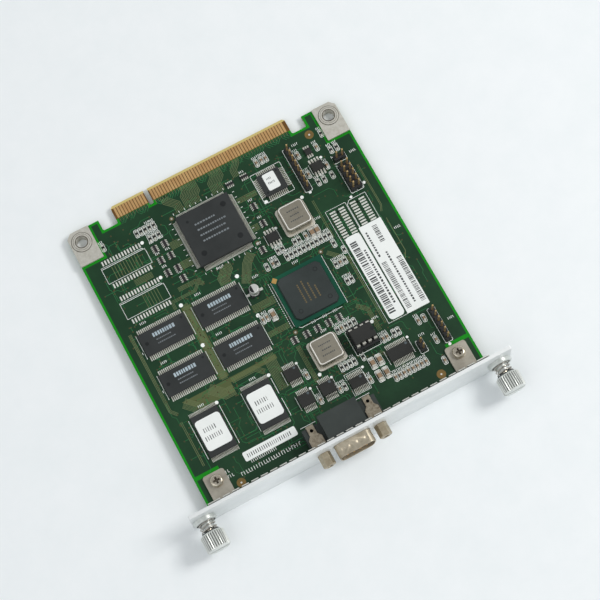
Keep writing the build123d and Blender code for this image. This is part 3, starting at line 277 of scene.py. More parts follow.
def makeKnobFinish():  # painted shade darkens the barrel's flutes, its ends stay bright
    material = makeFinish("flutedKnob", (228, 231, 227), (206, 210, 206), 0.3, 0.12, metal=0.5, patch=200)
    low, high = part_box("right_knob")
    centre = (low + high) / 2
    reckon, x, y, z = sumsOn(material)
    across = reckon("SUBTRACT", reckon("ABSOLUTE", x), centre.x)
    upward = reckon("SUBTRACT", z, centre.z)
    square = reckon("MULTIPLY_ADD", upward, upward, reckon("MULTIPLY", across, across))
    depth = reckon("SUBTRACT", knobLook["fluteEdge"] * mm, reckon("SQRT", square))
    floor = (knobLook["fluteEdge"] - knobLook["fluteFloor"]) * mm
    groove = reckon("DIVIDE", depth, floor, clamped=True)
    reach = (high.y - low.y) / 2 - knobLook["endBand"] * mm
    barrel = reckon("COMPARE", y, centre.y, reach)
    layOver(material, reckon("MULTIPLY", groove, barrel), knobLook["shade"])
    return material


# painted shade: a dark band along the strip's root, where it meets the panel
stripLook = {"root": 0.34, "shade": (52, 49, 42)}


def makeStripFinish():  # bright finger tips, painted shade along the root against the panel
    material = makeFinish("tinnedStrip", (240, 240, 234), (212, 212, 206), 0.3, 0.1, metal=0.35, patch=300)
    low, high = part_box("screening_strip")
    reckon, _, y, _ = sumsOn(material)
    layOver(material, reckon("LESS_THAN", y, low.y + stripLook["root"] * mm), stripLook["shade"])
    return material


finishes["card"] = makeCardFinish()
finishes["flutedKnob"] = makeKnobFinish()
finishes["strip"] = makeStripFinish()
print("finishes ready:", len(finishes))


# Geometry Nodes for what repeats

def socketOf(tree, label):
    return next(item.identifier for item in tree.interface.items_tree
                if item.name == label and item.in_out == "INPUT")


def closeTree(tree, given, result, source, output):  # what the source gives, as one mesh with its finish
    realize = addNode(tree, "GeometryNodeRealizeInstances")
    finish = addNode(tree, "GeometryNodeSetMaterial")
    wire(tree, (source, output, realize, "Geometry"), (realize, "Geometry", finish, "Geometry"),
         (given, "Finish", finish, "Material"), (finish, "Geometry", result, "Geometry"))
    return tree


def makeStampTree(name, shapeNode, settings):  # one small solid at every point, sized and turned there
    tree, given, result = newGroup(
        name, "GeometryNodeTree",
        [("Points", "NodeSocketGeometry", None), ("Finish", "NodeSocketMaterial", None)],
        [("Geometry", "NodeSocketGeometry")])
    shape = addNode(tree, shapeNode, settings)
    size, turn = [addNode(tree, "GeometryNodeInputNamedAttribute", {"Name": label}, data_type="FLOAT_VECTOR")
                  for label in ("stampSize", "stampTurn")]
    stamp = addNode(tree, "GeometryNodeInstanceOnPoints")
    wire(tree, (given, "Points", stamp, "Points"), (shape, "Mesh", stamp, "Instance"),
         (size, "Attribute", stamp, "Scale"), (turn, "Attribute", stamp, "Rotation"))
    return closeTree(tree, given, result, stamp, "Instances")


def makeRibbonTree():  # flat strip of even width along each path
    tree, given, result = newGroup(
        "flatStrip", "GeometryNodeTree",
        [("Paths", "NodeSocketGeometry", None), ("Width", "NodeSocketFloat", 0.0002),
         ("Thickness", "NodeSocketFloat", 0.00003), ("Finish", "NodeSocketMaterial", None)],
        [("Geometry", "NodeSocketGeometry")])
    upright = addNode(tree, "GeometryNodeSetCurveNormal", mode="Z_UP")
    section = addNode(tree, "GeometryNodeCurvePrimitiveQuadrilateral")
    sweep = addNode(tree, "GeometryNodeCurveToMesh", {"Fill Caps": True})
    wire(tree, (given, "Paths", upright, "Curve"), (given, "Width", section, "Width"),
         (given, "Thickness", section, "Height"), (upright, "Curve", sweep, "Curve"),
         (section, "Curve", sweep, "Profile Curve"))
    return closeTree(tree, given, result, sweep, "Mesh")


stampTrees = {
    "plate": makeStampTree("plateStamps", "GeometryNodeMeshCube", {"Size": (1, 1, 1)}),
    "disc": makeStampTree("discStamps", "GeometryNodeMeshCylinder",
                          {"Vertices": 18, "Radius": 0.5, "Depth": 1}),
    "cone": makeStampTree("coneStamps", "GeometryNodeMeshCone",
                          {"Vertices": 14, "Radius Top": 0.22, "Radius Bottom": 0.5, "Depth": 1}),
}
ribbonTree = makeRibbonTree()


def newObject(name, data):
    item = bpy.data.objects.new(name, data)
    scene.collection.objects.link(item)
    return item


def addPiece(mesh, name, finish, slot, body="root", replaced=()):
    mesh.name = name
    mesh.materials.clear()
    mesh.materials.append(finishes[finish])
    piece = newObject(name, mesh)
    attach(piece, body)
    if replaced:
        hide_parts(*replaced)
    return piece


def settle(source, name, finish, slot, body="root", replaced=()):  # evaluated result as a plain piece
    bpy.context.view_layer.update()
    mesh = bpy.data.meshes.new_from_object(source.evaluated_get(bpy.context.evaluated_depsgraph_get()))
    bpy.data.objects.remove(source)
    return addPiece(mesh, name, finish, slot, body, replaced)


def grow(name, data, tree, values, finish, slot):  # what a tree makes of the data
    source = newObject(name + "Source", data)
    modifier = source.modifiers.new("grown", "NODES")
    modifier.node_group = tree
    for label, value in {**values, "Finish": finishes[finish]}.items():
        modifier[socketOf(tree, label)] = value
    return settle(source, name, finish, slot)


def stamps(name, shape, entries, finish, slot):
    # entries: (x, y, low, width, length, height, turn in degrees if any) on the card, in millimetres
    mesh = bpy.data.meshes.new(name + "Points")
    mesh.from_pydata([onCard(x, y, low + height / 2) for x, y, low, width, length, height, *turn in entries],
                     [], [])
    size = mesh.attributes.new("stampSize", "FLOAT_VECTOR", "POINT")
    turned = mesh.attributes.new("stampTurn", "FLOAT_VECTOR", "POINT")
    for i, (x, y, low, width, length, height, *turn) in enumerate(entries):
        size.data[i].vector = (width * mm, length * mm, height * mm)
        turned.data[i].vector = (0, 0, math.radians(sum(turn)))
    return grow(name, mesh, stampTrees[shape], {}, finish, slot)


def discs(name, spots, low, size, height, finish, slot):  # equal discs
    return stamps(name, "disc", [(x, y, low, size, size, height) for x, y in spots], finish, slot)


def strips(name, paths, width, height, finish, slot, thickness=0.03):
    # paths: (points on the card in millimetres, closed or not)
    curve = bpy.data.curves.new(name, "CURVE")
    curve.dimensions = "3D"
    for points, closed in paths:
        spline = curve.splines.new("POLY")
        spline.points.add(len(points) - 1)
        for point, (x, y) in zip(spline.points, points):
            point.co = (*onCard(x, y, height + thickness / 2), 1)
        spline.use_cyclic_u = closed
    return grow(name, curve, ribbonTree, {"Width": width * mm, "Thickness": thickness * mm}, finish, slot)


# Solids of the frame, one by one

def joinedCopy(node):  # a copy of a node's mesh with its corners joined
    bm = bmesh.new()
    bm.from_mesh(frame["nodes"][node].data)
    bmesh.ops.remove_doubles(bm, verts=bm.verts, dist=0.000001)
    return bm


def solidBoxes(node):  # (low, high) of every separate solid, in card millimetres
    bm = joinedCopy(node)
    seen, boxes = set(), []
    for start in bm.verts:
        if start in seen:
            continue
        seen.add(start)
        stack, found = [start], []
        while stack:
            vert = stack.pop()
            found.append(vert.co)
            for edge in vert.link_edges:
                other = edge.other_vert(vert)
                if other not in seen:
                    seen.add(other)
                    stack.append(other)
        low, high = [[pick(co[i] for co in found) / mm for i in range(3)] for pick in (min, max)]
        for corner in (low, high):
            corner[1] -= shoulderLine
            corner[2] -= cardTop
        boxes.append((low, high))
    bm.free()
    return boxes


def middle(box):
    return (box[0][0] + box[1][0]) / 2, (box[0][1] + box[1][1]) / 2


def extent(box):
    return box[1][0] - box[0][0], box[1][1] - box[0][1], box[1][2] - box[0][2]


def solids(*nodes):  # each solid's box, with its middle and its size
    return [(box, *middle(box), *extent(box)) for node in nodes for box in solidBoxes(node)]


def topOf(node):
    return max(box[1][2] for box in solidBoxes(node))


slotOf = {entry["node"]: entry["material_slot"] for entry in frame["record"]["subparts"]}
bodyOf = {node: body for body, nodes in frame["record"]["behaviour"]["bodies"].items() for node in nodes}
bevelLook = {"segments": 2, "limit": 32, "flat": 0.5, "broadFace": 4.0}  # degrees, and mm2 for a broad face


def soften(node, name, finish, width, sharp=32):  # the node's own shape with its edges broken
    bm = joinedCopy(node)
    bmesh.ops.dissolve_limit(bm, angle_limit=math.radians(bevelLook["flat"]), verts=bm.verts, edges=bm.edges)
    mesh = bpy.data.meshes.new(name + "Solid")
    bm.to_mesh(mesh)
    bm.free()
    for polygon in mesh.polygons:  # a broad face is flat, whatever its narrow neighbours do
        polygon.use_smooth = polygon.area < bevelLook["broadFace"] * mm * mm
    mesh.set_sharp_from_angle(angle=math.radians(sharp))
    source = newObject(name + "Source", mesh)
    bevel = source.modifiers.new("brokenEdges", "BEVEL")
    bevel.width = width * mm
    bevel.segments = bevelLook["segments"]
    bevel.limit_method = "ANGLE"
    bevel.angle_limit = math.radians(bevelLook["limit"])
    bevel.harden_normals = True
    return settle(source, name, finish, slotOf[node], bodyOf[node], (node,))


softened = {  # node: (finish, edge in mm, smoothing limit in degrees if not 32)
    "front_panel": ("panel", 0.22), "left_bracket": ("bracket", 0.12), "right_bracket": ("bracket", 0.12),
    "left_corner_plate": ("nickel", 0.12), "right_corner_plate": ("nickel", 0.12),
    "corner_bushes": ("nickel", 0.1), "bracket_screws": ("steel", 0.07), "bracket_nuts": ("steel", 0.15),
    "port_shell": ("shell", 0.1, 18), "port_insert": ("black", 0.05), "port_housing": ("housing", 0.18),
    "port_locks": ("lock", 0.1), "jackscrews": ("jack", 0.12), "left_ferrule": ("knob", 0.1),
    "right_ferrule": ("knob", 0.1), "left_knob": ("flutedKnob", 0.03), "right_knob": ("flutedKnob", 0.03),
    "left_washer": ("washer", 0.06), "right_washer": ("washer", 0.06), "bridge_chip": ("moulding", 0.12),
    "controller_chip": ("moulding", 0.08), "memory_chips": ("moulding", 0.06),
    "flash_chips": ("moulding", 0.06), "gate_chips": ("smallMoulding", 0.06),
    "driver_chips": ("smallMoulding", 0.06), "reset_chip": ("smallMoulding", 0.05),
    "processor_substrate": ("substrate", 0.04), "processor_cap": ("capMoulding", 0.14),
    "clock_bases": ("canFlange", 0.2), "clock_cans": ("can", 0.1), "boot_socket": ("black", 0.12),
    "boot_chip": ("smallMoulding", 0.12), "smoother_base": ("black", 0.08),
    "smoother_can": ("drawnCan", 0.04), "header_bodies": ("black", 0.1),
    "screening_strip": ("strip", 0.03),
}
renamed = {"processor_substrate": "processorCarrier"}  # the others are named as their node is
for node, (finish, width, *sharp) in softened.items():
    first, *others = node.split("_")
    name = renamed.get(node, first + "".join(word.capitalize() for word in others))
    soften(node, name, finish, width, *sharp)

plain = {  # finish: the nodes whose own mesh stays
    "card": ("circuit_board",), "contactGold": ("edge_contacts",), "gold": ("port_pins",),
    "pin": ("header_pins",), "paper": ("paper_labels",), "resistor": ("chip_resistors", "resistor_arrays"),
    "ceramic": ("chip_capacitors", "bulk_capacitors"),
    "solder": ("processor_balls", "socket_contacts", "boot_leads", "bridge_leads", "controller_leads",
               "memory_leads", "flash_leads", "gate_leads", "driver_leads", "reset_leads"),
}
for finish, nodes in plain.items():
    for node in nodes:
        data = frame["nodes"][node].data
        data.materials.clear()
        data.materials.append(finishes[finish])
print("frame dressed:", len(softened), "softened,", sum(map(len, plain.values())), "kept")


# Copper under the mask, inside a bare border all round the card

pour = {"border": 1.0, "thickness": 0.02, "plateWidth": 10.2, "plateLength": 15.2, "tongueHalf": 40.45,
        "reliefWidth": 6.75, "reliefDepth": 5.0, "tongueEdge": -3.3, "keyLeft": -25.4, "keyRight": -23.5,
        "keyEdge": -4.3, "bandBack": -114.4, "bandFront": -116.1, "bandReach": 11.0}
pourTop = pour["thickness"]


def pourOutline():
    border, tip, back, front = [pour[key] for key in ("border", "tongueEdge", "bandBack", "bandFront")]
    edge, bandIn = halfCard - border, halfCard - pour["bandReach"]
    plateX, plateY = halfCard - pour["plateWidth"] - border, -pour["plateLength"] - border
    reliefX, reliefY = pour["tongueHalf"] + pour["reliefWidth"] + border, -pour["reliefDepth"] - border
    tongue = pour["tongueHalf"] - border
    keyLeft, keyRight, keyY = pour["keyLeft"] - border, pour["keyRight"] + border, pour["keyEdge"] - border
    half = [(edge, -cardDepth), (edge, front), (bandIn, front), (bandIn, back), (edge, back), (edge, plateY),
            (plateX, plateY), (plateX, -border), (reliefX, -border), (reliefX, reliefY), (tongue, reliefY),
            (tongue, tip)]
    key = [(keyRight, tip), (keyRight, keyY), (keyLeft, keyY), (keyLeft, tip)]
    return half + key + [(-x, y) for x, y in reversed(half)]


def flatPlates(name, outlines, thickness, finish, slot="card"):
    # outlines: (closed points on the card, their height), each grown to a thin plate
    bm = bmesh.new()
    for points, height in outlines:
        bm.faces.new([bm.verts.new(onCard(x, y, height)) for x, y in points])
    grown = bmesh.ops.extrude_face_region(bm, geom=list(bm.faces))
    for item in grown["geom"]:
        if isinstance(item, bmesh.types.BMVert):
            item.co.z += thickness * mm
    bmesh.ops.triangulate(bm, faces=bm.faces)
    bmesh.ops.recalc_face_normals(bm, faces=bm.faces)
    mesh = bpy.data.meshes.new(name)
    bm.to_mesh(mesh)
    bm.free()
    return addPiece(mesh, name, finish, slot)


for name, height in (("copperPourTop", 0), ("copperPourUnder", underside - pourTop)):
    flatPlates(name, [(pourOutline(), height)], pourTop, "pour")
oliveFields = [
    [(-34.5, -50.0), (-30.4, -50.0), (-30.4, -84.0), (-34.5, -84.0)],
    [(-31.0, -85.0), (-10.0, -85.0), (-10.0, -87.0), (-31.0, -87.0)],
    [(-52.0, -85.0), (-31.0, -85.0), (-31.0, -91.0), (-46.5, -91.0)],
]
flatPlates("thinMaskFields", [(field, pourTop) for field in oliveFields], 0.006, "olive")


# Traces

def beside(points, distance):  # the same path shifted sideways, its corners mitred
    shifted = []
    for i, here in enumerate(points):
        ways = []
        if i > 0:
            ways.append((Vector(here) - Vector(points[i - 1])).normalized())
        if i < len(points) - 1:
            ways.append((Vector(points[i + 1]) - Vector(here)).normalized())
        along = sum(ways, Vector((0, 0))).normalized()
        across = Vector((-along.y, along.x))
        reach = distance / max(0.5, across.dot(Vector((-ways[0].y, ways[0].x))))
        shifted.append(tuple(Vector(here) + across * reach))
    return shifted


busRuns = (  # points, number of traces, pitch
    (((-36, -3.2), (-36, -5.2)), 1, 1.27),
    (((4.5, -3.4), (4.5, -6.2), (2.0, -8.7), (2.0, -13.2)), 9, 0.62),
    (((-8, -3.4), (-8, -7.0), (-9.5, -8.5), (-9.5, -13.0)), 12, 0.62),
    (((-19, -3.4), (-19, -6.0), (-15.6, -9.4), (-15.6, -13.0)), 6, 0.62),
    (((14, -3.4), (14, -5.0), (11.5, -7.5), (11.5, -10.6)), 5, 0.62),
    (((1.2, -42.6), (-2.4, -46.2), (-6.4, -53.4)), 8, 0.5),
    (((-10.5, -42.0), (-10.5, -44.0), (-13.5, -47.0), (-13.5, -49.6)), 10, 0.5),
    (((-32.4, -49.0), (-32.4, -84.6)), 6, 0.45),
    (((-31.8, -42.5), (-24.0, -42.5), (-21.5, -45.0)), 4, 0.5),
    (((-51.5, -85.6), (-47.0, -90.2)), 9, 0.5),
    (((-40.0, -85.2), (-35.0, -90.2), (-31.0, -90.2)), 9, 0.5),
    (((-13.0, -83.8), (-13.0, -99.5)), 9, 0.55),
    (((-30.4, -86.6), (-20.0, -86.6), (-17.0, -89.6)), 5, 0.5),
    (((33.9, -35.0), (33.9, -53.2)), 2, 0.6),
    (((35.0, -62.6), (35.0, -95.0)), 2, 0.6),
    (((56.8, -56.0), (56.8, -72.0), (55.2, -75.0)), 1, 0.5),
    (((57.6, -30.0), (57.6, -50.0), (56.4, -52.6)), 2, 0.5),
    (((-57.8, -50.0), (-57.8, -86.0), (-55.6, -88.6)), 3, 0.5),
    (((-36.5, -49.4), (-36.5, -46.0), (-26.0, -46.0), (-22.0, -42.0)), 3, 0.5),
    (((28.0, -83.0), (31.6, -86.6), (31.6, -96.5)), 4, 0.5),
    (((28.4, -57.5), (36.0, -65.1)), 4, 0.5),
    (((-9.2, -64.6), (0.6, -64.6)), 7, 0.5),
    (((-9.0, -77.0), (0.8, -77.0)), 5, 0.5),
    (((6.6, -20.5), (15.4, -20.5)), 5, 0.5),
    (((6.4, -34.0), (9.6, -34.0)), 6, 0.5),
    (((-21.2, -24.5), (-26.2, -24.5)), 7, 0.5),
    (((-21.2, -34.0), (-26.2, -34.0)), 7, 0.5),
    (((-0.5, -86.6), (-0.5, -103.0)), 4, 0.5),
    (((-45.5, -20.4), (-45.5, -26.4)), 10, 1.29),
    (((-42.5, -37.3), (-42.5, -43.4)), 6, 1.29),
    (((-46.0, -31.5), (-38.0, -31.5)), 5, 0.55),
    (((27.0, -104.5), (33.0, -110.5), (33.0, -118.0)), 3, 0.6),
    (((-56.0, -92.0), (-56.0, -112.0)), 2, 0.6),
)
busPaths = [(beside(points, (i - (count - 1) / 2) * pitch), False)
            for points, count, pitch in busRuns for i in range(count)]
contactFeet = [(x, box[0][1]) for box, x, *_ in solids("edge_contacts") if box[1][2] > 0]
busPaths += [(((x, foot - 0.05), (x, foot - 1.6)), False) for x, foot in contactFeet]
strips("paleTraces", busPaths, 0.24, pourTop, "bus", "card", 0.012)

# Slanting copper between the contacts' stubs, then signal runs, thickest round the chips
routing = {"seed": 11, "runs": 640, "width": 0.18, "thickness": 0.008, "longLeg": (1.6, 8.0),
           "shortLeg": (0.6, 2.4), "halfWidth": 59.5, "front": -125, "back": -8}
routeCentres = (  # x, y, spread
    (-7.4, -27.3, 17), (14, -67, 15), (-18, -62, 14), (-42, -72, 15), (34, -18, 15), (22, -97, 15),
    (-30, -100, 15), (0, -112, 17), (46, -70, 12), (-48, -30, 12),
)
draw = random.Random(routing["seed"])
greenPaths, viaSpots = [], []
for x, foot in contactFeet:
    lean = draw.choice((-1, 1))
    greenPaths.append(([(x, foot - 1.7), (x + lean * 1.3, foot - 3.2)], False))
    between = x + 0.64
    greenPaths.append(([(between, foot - 0.4), (between, foot - 1.3), (between + lean, foot - 2.3)], False))
for _ in range(routing["runs"]):
    centreX, centreY, spread = draw.choice(routeCentres)
    x, y = draw.gauss(centreX, spread), draw.gauss(centreY, spread)
    points = [(x, y)]
    heading = draw.choice((0, 90, 180, 270))
    for leg in range(draw.choice((2, 3, 3, 4))):
        length = draw.uniform(*routing["shortLeg" if leg % 2 else "longLeg"])
        x += length * math.cos(math.radians(heading))
        y += length * math.sin(math.radians(heading))
        points.append((x, y))
        heading += draw.choice((-45, 45))
    if all(abs(px) < routing["halfWidth"] and routing["front"] < py < routing["back"] for px, py in points):
        greenPaths.append((points, False))
        viaSpots += [points[0], points[-1]]
underPaths = [([(-px, py) for px, py in points], closed) for points, closed in greenPaths]
lowTraces = underside - pourTop - routing["thickness"]
for name, paths, height in (("greenTraces", greenPaths, pourTop),
                            ("greenTracesUnder", underPaths, lowTraces)):
    strips(name, paths, routing["width"], height, "routing", "card", routing["thickness"])

knownVias = (
    (-45.7, -8.7), (-40, -8.6), (-45.7, -13.7), (-40.2, -13.7), (-55.3, -31.6), (-51.5, -31.6),
    (-55.8, -47.4), (-53.5, -47.3), (-50.8, -47.4), (-55.8, -88.6), (-50.2, -85.7), (-55.7, -99.4),
    (-55.5, -108), (-37.5, -104.7), (-33.3, -104.7), (36.6, -35.5), (39.4, -35.8), (44.6, -35.8),
    (55.9, -81.2), (55.9, -84.8), (56.2, -89.2),
)
viaSpots += list(knownVias)
viaLook = {"ring": 0.62, "hole": 0.28, "height": 0.015, "lift": 0.005}
lowVias = underside - pourTop - viaLook["height"]
# the via holes are near-black discs of painted shade
for end, low, lift in (("", pourTop, viaLook["lift"]), ("Under", lowVias, -viaLook["lift"])):
    discs("viaRings" + end, viaSpots, low, viaLook["ring"], viaLook["height"], "via", "card")
    discs("viaHoles" + end, viaSpots, low + lift, viaLook["hole"], viaLook["height"], "dark", "card")
print("routing laid:", len(busPaths) + len(greenPaths), "traces,", len(viaSpots), "vias")


# Solder pads

padHeight = 0.038
pads = []


def addPad(x, y, width, length):
    pads.append((x, y, 0, width, length, padHeight))


leadRows = (  # lead node, chip node, pad past the toe, pad length, width over lead
    ("bridge_leads", "bridge_chip", 0.35, 1.7, 1.2),
    ("controller_leads", "controller_chip", 0.35, 1.7, 1.25),
    ("memory_leads", "memory_chips", 0.4, 1.6, 1.3),
    ("flash_leads", "flash_chips", 0.35, 1.5, 1.2),
    ("gate_leads", "gate_chips", 0.5, 2.0, 1.35),
    ("driver_leads", "driver_chips", 0.4, 1.7, 1.3),
    ("reset_leads", "reset_chip", 0.35, 1.2, 1.5),
)
for leadNode, chipNode, past, length, wider in leadRows:
    chips = [middle(box) for box in solidBoxes(chipNode)]
    for box, x, y, wide, long, tall in solids(leadNode):
        chipX, chipY = min(chips, key=lambda chip: (chip[0] - x) ** 2 + (chip[1] - y) ** 2)
        if long > wide:  # runs along Y
            side = 1 if y > chipY else -1
            addPad(x, box[side > 0][1] + side * (past - length / 2), wide * wider, length)
        else:
            side = 1 if x > chipX else -1
            addPad(box[side > 0][0] + side * (past - length / 2), y, length, long * wider)

chipParts = {"chip_resistors": 0.55, "chip_capacitors": 0.6, "bulk_capacitors": 0.7}  # node: its pads' length
chipLook = {"cap": 0.2, "capOut": 0.02, "capDown": 0.002, "capWider": 0.05, "capTaller": 0.03,
            "padOut": 0.25, "padWider": 1.12, "padUnder": 0.22, "outline": (0.85, 1.9), "corner": 0.35}
arrayLook = {"pitch": 0.8, "rows": 4, "capIn": 0.08, "cap": (0.3, 0.42), "capTaller": 0.02, "padOut": 0.22,
             "pad": (0.75, 0.5)}
endCaps, printPaths = [], []


def roundedPath(x, y, wide, long, corner):
    left, right, front, back = x - wide / 2, x + wide / 2, y - long / 2, y + long / 2
    return [(left + corner, front), (right - corner, front), (right, front + corner), (right, back - corner),
            (right - corner, back), (left + corner, back), (left, back - corner), (left, front + corner)]


for node, pad in chipParts.items():
    for box, x, y, wide, long, tall in solids(node):
        cap = long * chipLook["cap"]
        for end in (-1, 1):
            addPad(x, y + end * (long / 2 + pad * chipLook["padOut"]), wide * chipLook["padWider"],
                   pad + long * chipLook["padUnder"])
            endCaps.append((x, y + end * (long / 2 - cap / 2 + chipLook["capOut"]),
                            box[0][2] - chipLook["capDown"], wide + chipLook["capWider"], cap,
                            tall + chipLook["capTaller"]))
        wider, longer = chipLook["outline"]
        printPaths.append((roundedPath(x, y, wide + wider, long + longer, chipLook["corner"]), True))
for box, x, y, wide, long, tall in solids("resistor_arrays"):
    turned = long < wide  # its ends then face along Y
    reach = (long if turned else wide) / 2
    order = -1 if turned else 1
    for i in range(arrayLook["rows"]):
        step = (i - (arrayLook["rows"] - 1) / 2) * arrayLook["pitch"]
        for side in (-1, 1):
            capX, capY = (side * (reach - arrayLook["capIn"]), step)[::order]
            padX, padY = (side * (reach + arrayLook["padOut"]), step)[::order]
            endCaps.append((x + capX, y + capY, box[0][2], *arrayLook["cap"][::order],
                            tall + arrayLook["capTaller"]))
            addPad(x + padX, y + padY, *arrayLook["pad"][::order])
stamps("partEnds", "plate", endCaps, "solder", "tin")

# Empty places of two chips, of two connectors up to the labels over them, and of one small part
noChips = {"x": -45.55, "rows": (-17.8, -28.4, -34.65, -45.5), "count": 14, "pitch": 1.29,
           "pad": (0.65, 2.0)}
noHeaders = {"columns": (38.55, 42.6, 47.9, 52.0), "back": -43.6, "count": 12, "pitch": 1.285,
             "pad": (2.6, 0.72)}
noPart = {"x": -5.2, "y": -58.3, "out": 2.6, "pad": (2.2, 1.1)}
clockPad = {"inset": 1.6, "size": 2.2}
for row in noChips["rows"]:
    for i in range(noChips["count"]):
        step = (i - (noChips["count"] - 1) / 2) * noChips["pitch"]
        addPad(noChips["x"] + step, row, *noChips["pad"])
for column in noHeaders["columns"]:
    for i in range(noHeaders["count"]):
        addPad(column, noHeaders["back"] - i * noHeaders["pitch"], *noHeaders["pad"])
for side in (-1, 1):
    addPad(noPart["x"] + side * noPart["out"], noPart["y"], *noPart["pad"])
    for box, x, y, wide, long, tall in solids("clock_bases"):
        for end in (-1, 1):
            addPad(x + side * (wide / 2 - clockPad["inset"]), y + end * (long / 2 - clockPad["inset"]),
                   clockPad["size"], clockPad["size"])
stamps("solderPads", "plate", pads, "pad", "tin")

groundPads = [(-46.1, -125.0), (44.2, -124.3), (46.4, -8.8)]
discs("groundPads", groundPads, 0, 3.8, 0.045, "dullGold", "gold")
discs("groundPadHoles", groundPads, 0, 0.8, 0.055, "pad", "tin")
fiducials = [(-20.4, -14.0), (5.7, -40.3), (26.4, -56.0), (1.4, -81.1)]
discs("fiducialRings", fiducials, 0, 2.0, 0.03, "via", "card")
discs("fiducials", fiducials, 0, 0.85, 0.045, "solder", "tin")
# painted shade for the two peg holes
discs("pegHoles", [(40.6, -44.3), (49.8, -44.3)], 0, 0.9, 0.045, "dark", "card")

# Joints under the card where pins come through
jointLook = {"ring": 1.7, "ringHeight": 0.04, "cone": 1.35, "coneHeight": 0.6, "overlap": 0.02,
             "portTail": 0.5}
pinSpots = [middle(box) for box in solidBoxes("header_pins") + solidBoxes("socket_contacts")]
pinSpots += [(x, box[1][1] - jointLook["portTail"]) for box, x, *_ in solids("port_pins")]
ringLow = underside - jointLook["ringHeight"]
discs("solderRings", pinSpots, ringLow, jointLook["ring"], jointLook["ringHeight"], "solder", "tin")
coneLow = underside - jointLook["coneHeight"] - jointLook["overlap"]
cones = stamps("solderCones", "cone",
               [(x, y, coneLow, jointLook["cone"], jointLook["cone"], jointLook["coneHeight"])
                for x, y in pinSpots], "solder", "tin")
coneMiddle = onCard(0, 0, coneLow + jointLook["coneHeight"] / 2).z
for vert in cones.data.vertices:  # the cones point down
    vert.co.z = 2 * coneMiddle - vert.co.z
cones.data.flip_normals()


# White print on the card

printClosed = (
    ((-55.5, -26.8), (-55.5, -19.4), (-36.9, -19.4), (-35.8, -20.5), (-35.8, -26.8)),
    ((-55.5, -43.8), (-55.5, -36.3), (-36.9, -36.3), (-35.8, -37.4), (-35.8, -43.8)),
    ((36.0, -95.9), (36.0, -42.0), (45.2, -42.0), (45.2, -95.9)),
    ((45.5, -95.9), (45.5, -43.6), (47.0, -42.0), (54.5, -42.0), (54.5, -95.9)),
    ((9.8, -115.8), (9.8, -106.2), (17.2, -106.2), (17.2, -115.8)),
)
printOpen = (
    ((-55.5, -20.0), (-35.8, -20.0)), ((-55.5, -36.9), (-35.8, -36.9)), ((-53.2, -93), (-53.2, -110.5)),
    ((-39.4, -93), (-39.4, -110.5)), ((-29.7, -93), (-29.7, -110.5)), ((-16.2, -93), (-16.2, -100.2)),
    ((-16.2, -102.3), (-16.2, -110.5)), ((2.2, -58.0), (2.2, -78.5), (4.5, -80.6), (23.0, -80.6)),
    ((25.8, -57.5), (25.8, -80.2)), ((49.6, -26.2), (49.6, -39.6), (55.4, -39.6)),
    ((49.6, -21.6), (49.6, -25.6)), ((-15.7, -117.2), (-8.9, -117.2)), ((9.4, -117.2), (15.4, -117.2)),
)


def openPath(*points):
    printPaths.append((points, False))


printPaths += [(points, True) for points in printClosed]
for points in printOpen:
    openPath(*points)
beadLine = {"x": 1.1, "start": -58.0, "pitch": 0.97, "length": 0.6, "count": 22}
for i in range(beadLine["count"]):
    bead = beadLine["start"] - i * beadLine["pitch"]
    openPath((beadLine["x"], bead), (beadLine["x"], bead - beadLine["length"]))
bridge = {"x": -7.4, "y": -27.25, "half": 14.1, "tick": 0.9, "pitch": 2.55, "count": 10}
for i in range(bridge["count"]):
    step = (i - (bridge["count"] - 1) / 2) * bridge["pitch"]
    for side in (-1, 1):
        near = side * bridge["half"]
        far = side * (bridge["half"] + bridge["tick"])
        openPath((bridge["x"] + step, bridge["y"] + near), (bridge["x"] + step, bridge["y"] + far))
        openPath((bridge["x"] + near, bridge["y"] + step), (bridge["x"] + far, bridge["y"] + step))
outlineLook = {"corner": 0.3, "lineOut": 0.45, "linePast": 0.4}
for node, margin in (("header_bodies", 0.35), ("controller_chip", 1.9), ("boot_socket", 0.4)):
    for box, x, y, wide, long, tall in solids(node):
        outline = roundedPath(x, y, wide + 2 * margin, long + 2 * margin, outlineLook["corner"])
        printPaths.append((outline, True))
for (low, high), *_ in solids("memory_chips", "gate_chips", "driver_chips"):
    for x in (low[0] - outlineLook["lineOut"], high[0] + outlineLook["lineOut"]):
        openPath((x, low[1] - outlineLook["linePast"]), (x, high[1] + outlineLook["linePast"]))

# Short strokes stand where the card carries its reference marks
markLook = {"tall": 1.0, "step": 0.72, "arm": 0.4, "arms": (0.08, 0.5, 0.92), "armed": 0.6, "shown": 0.75,
            "left": 0.9, "behind": 1.25, "seed": 23}
marks = random.Random(markLook["seed"])


def markStrokes(x, y, count, size=1.0):
    for k in range(count):
        left = x + k * markLook["step"] * size
        tall = markLook["tall"] * size
        openPath((left, y), (left, y + tall))
        if marks.random() < markLook["armed"]:
            arm = y + tall * marks.choice(markLook["arms"])
            openPath((left, arm), (left + markLook["arm"] * size, arm))


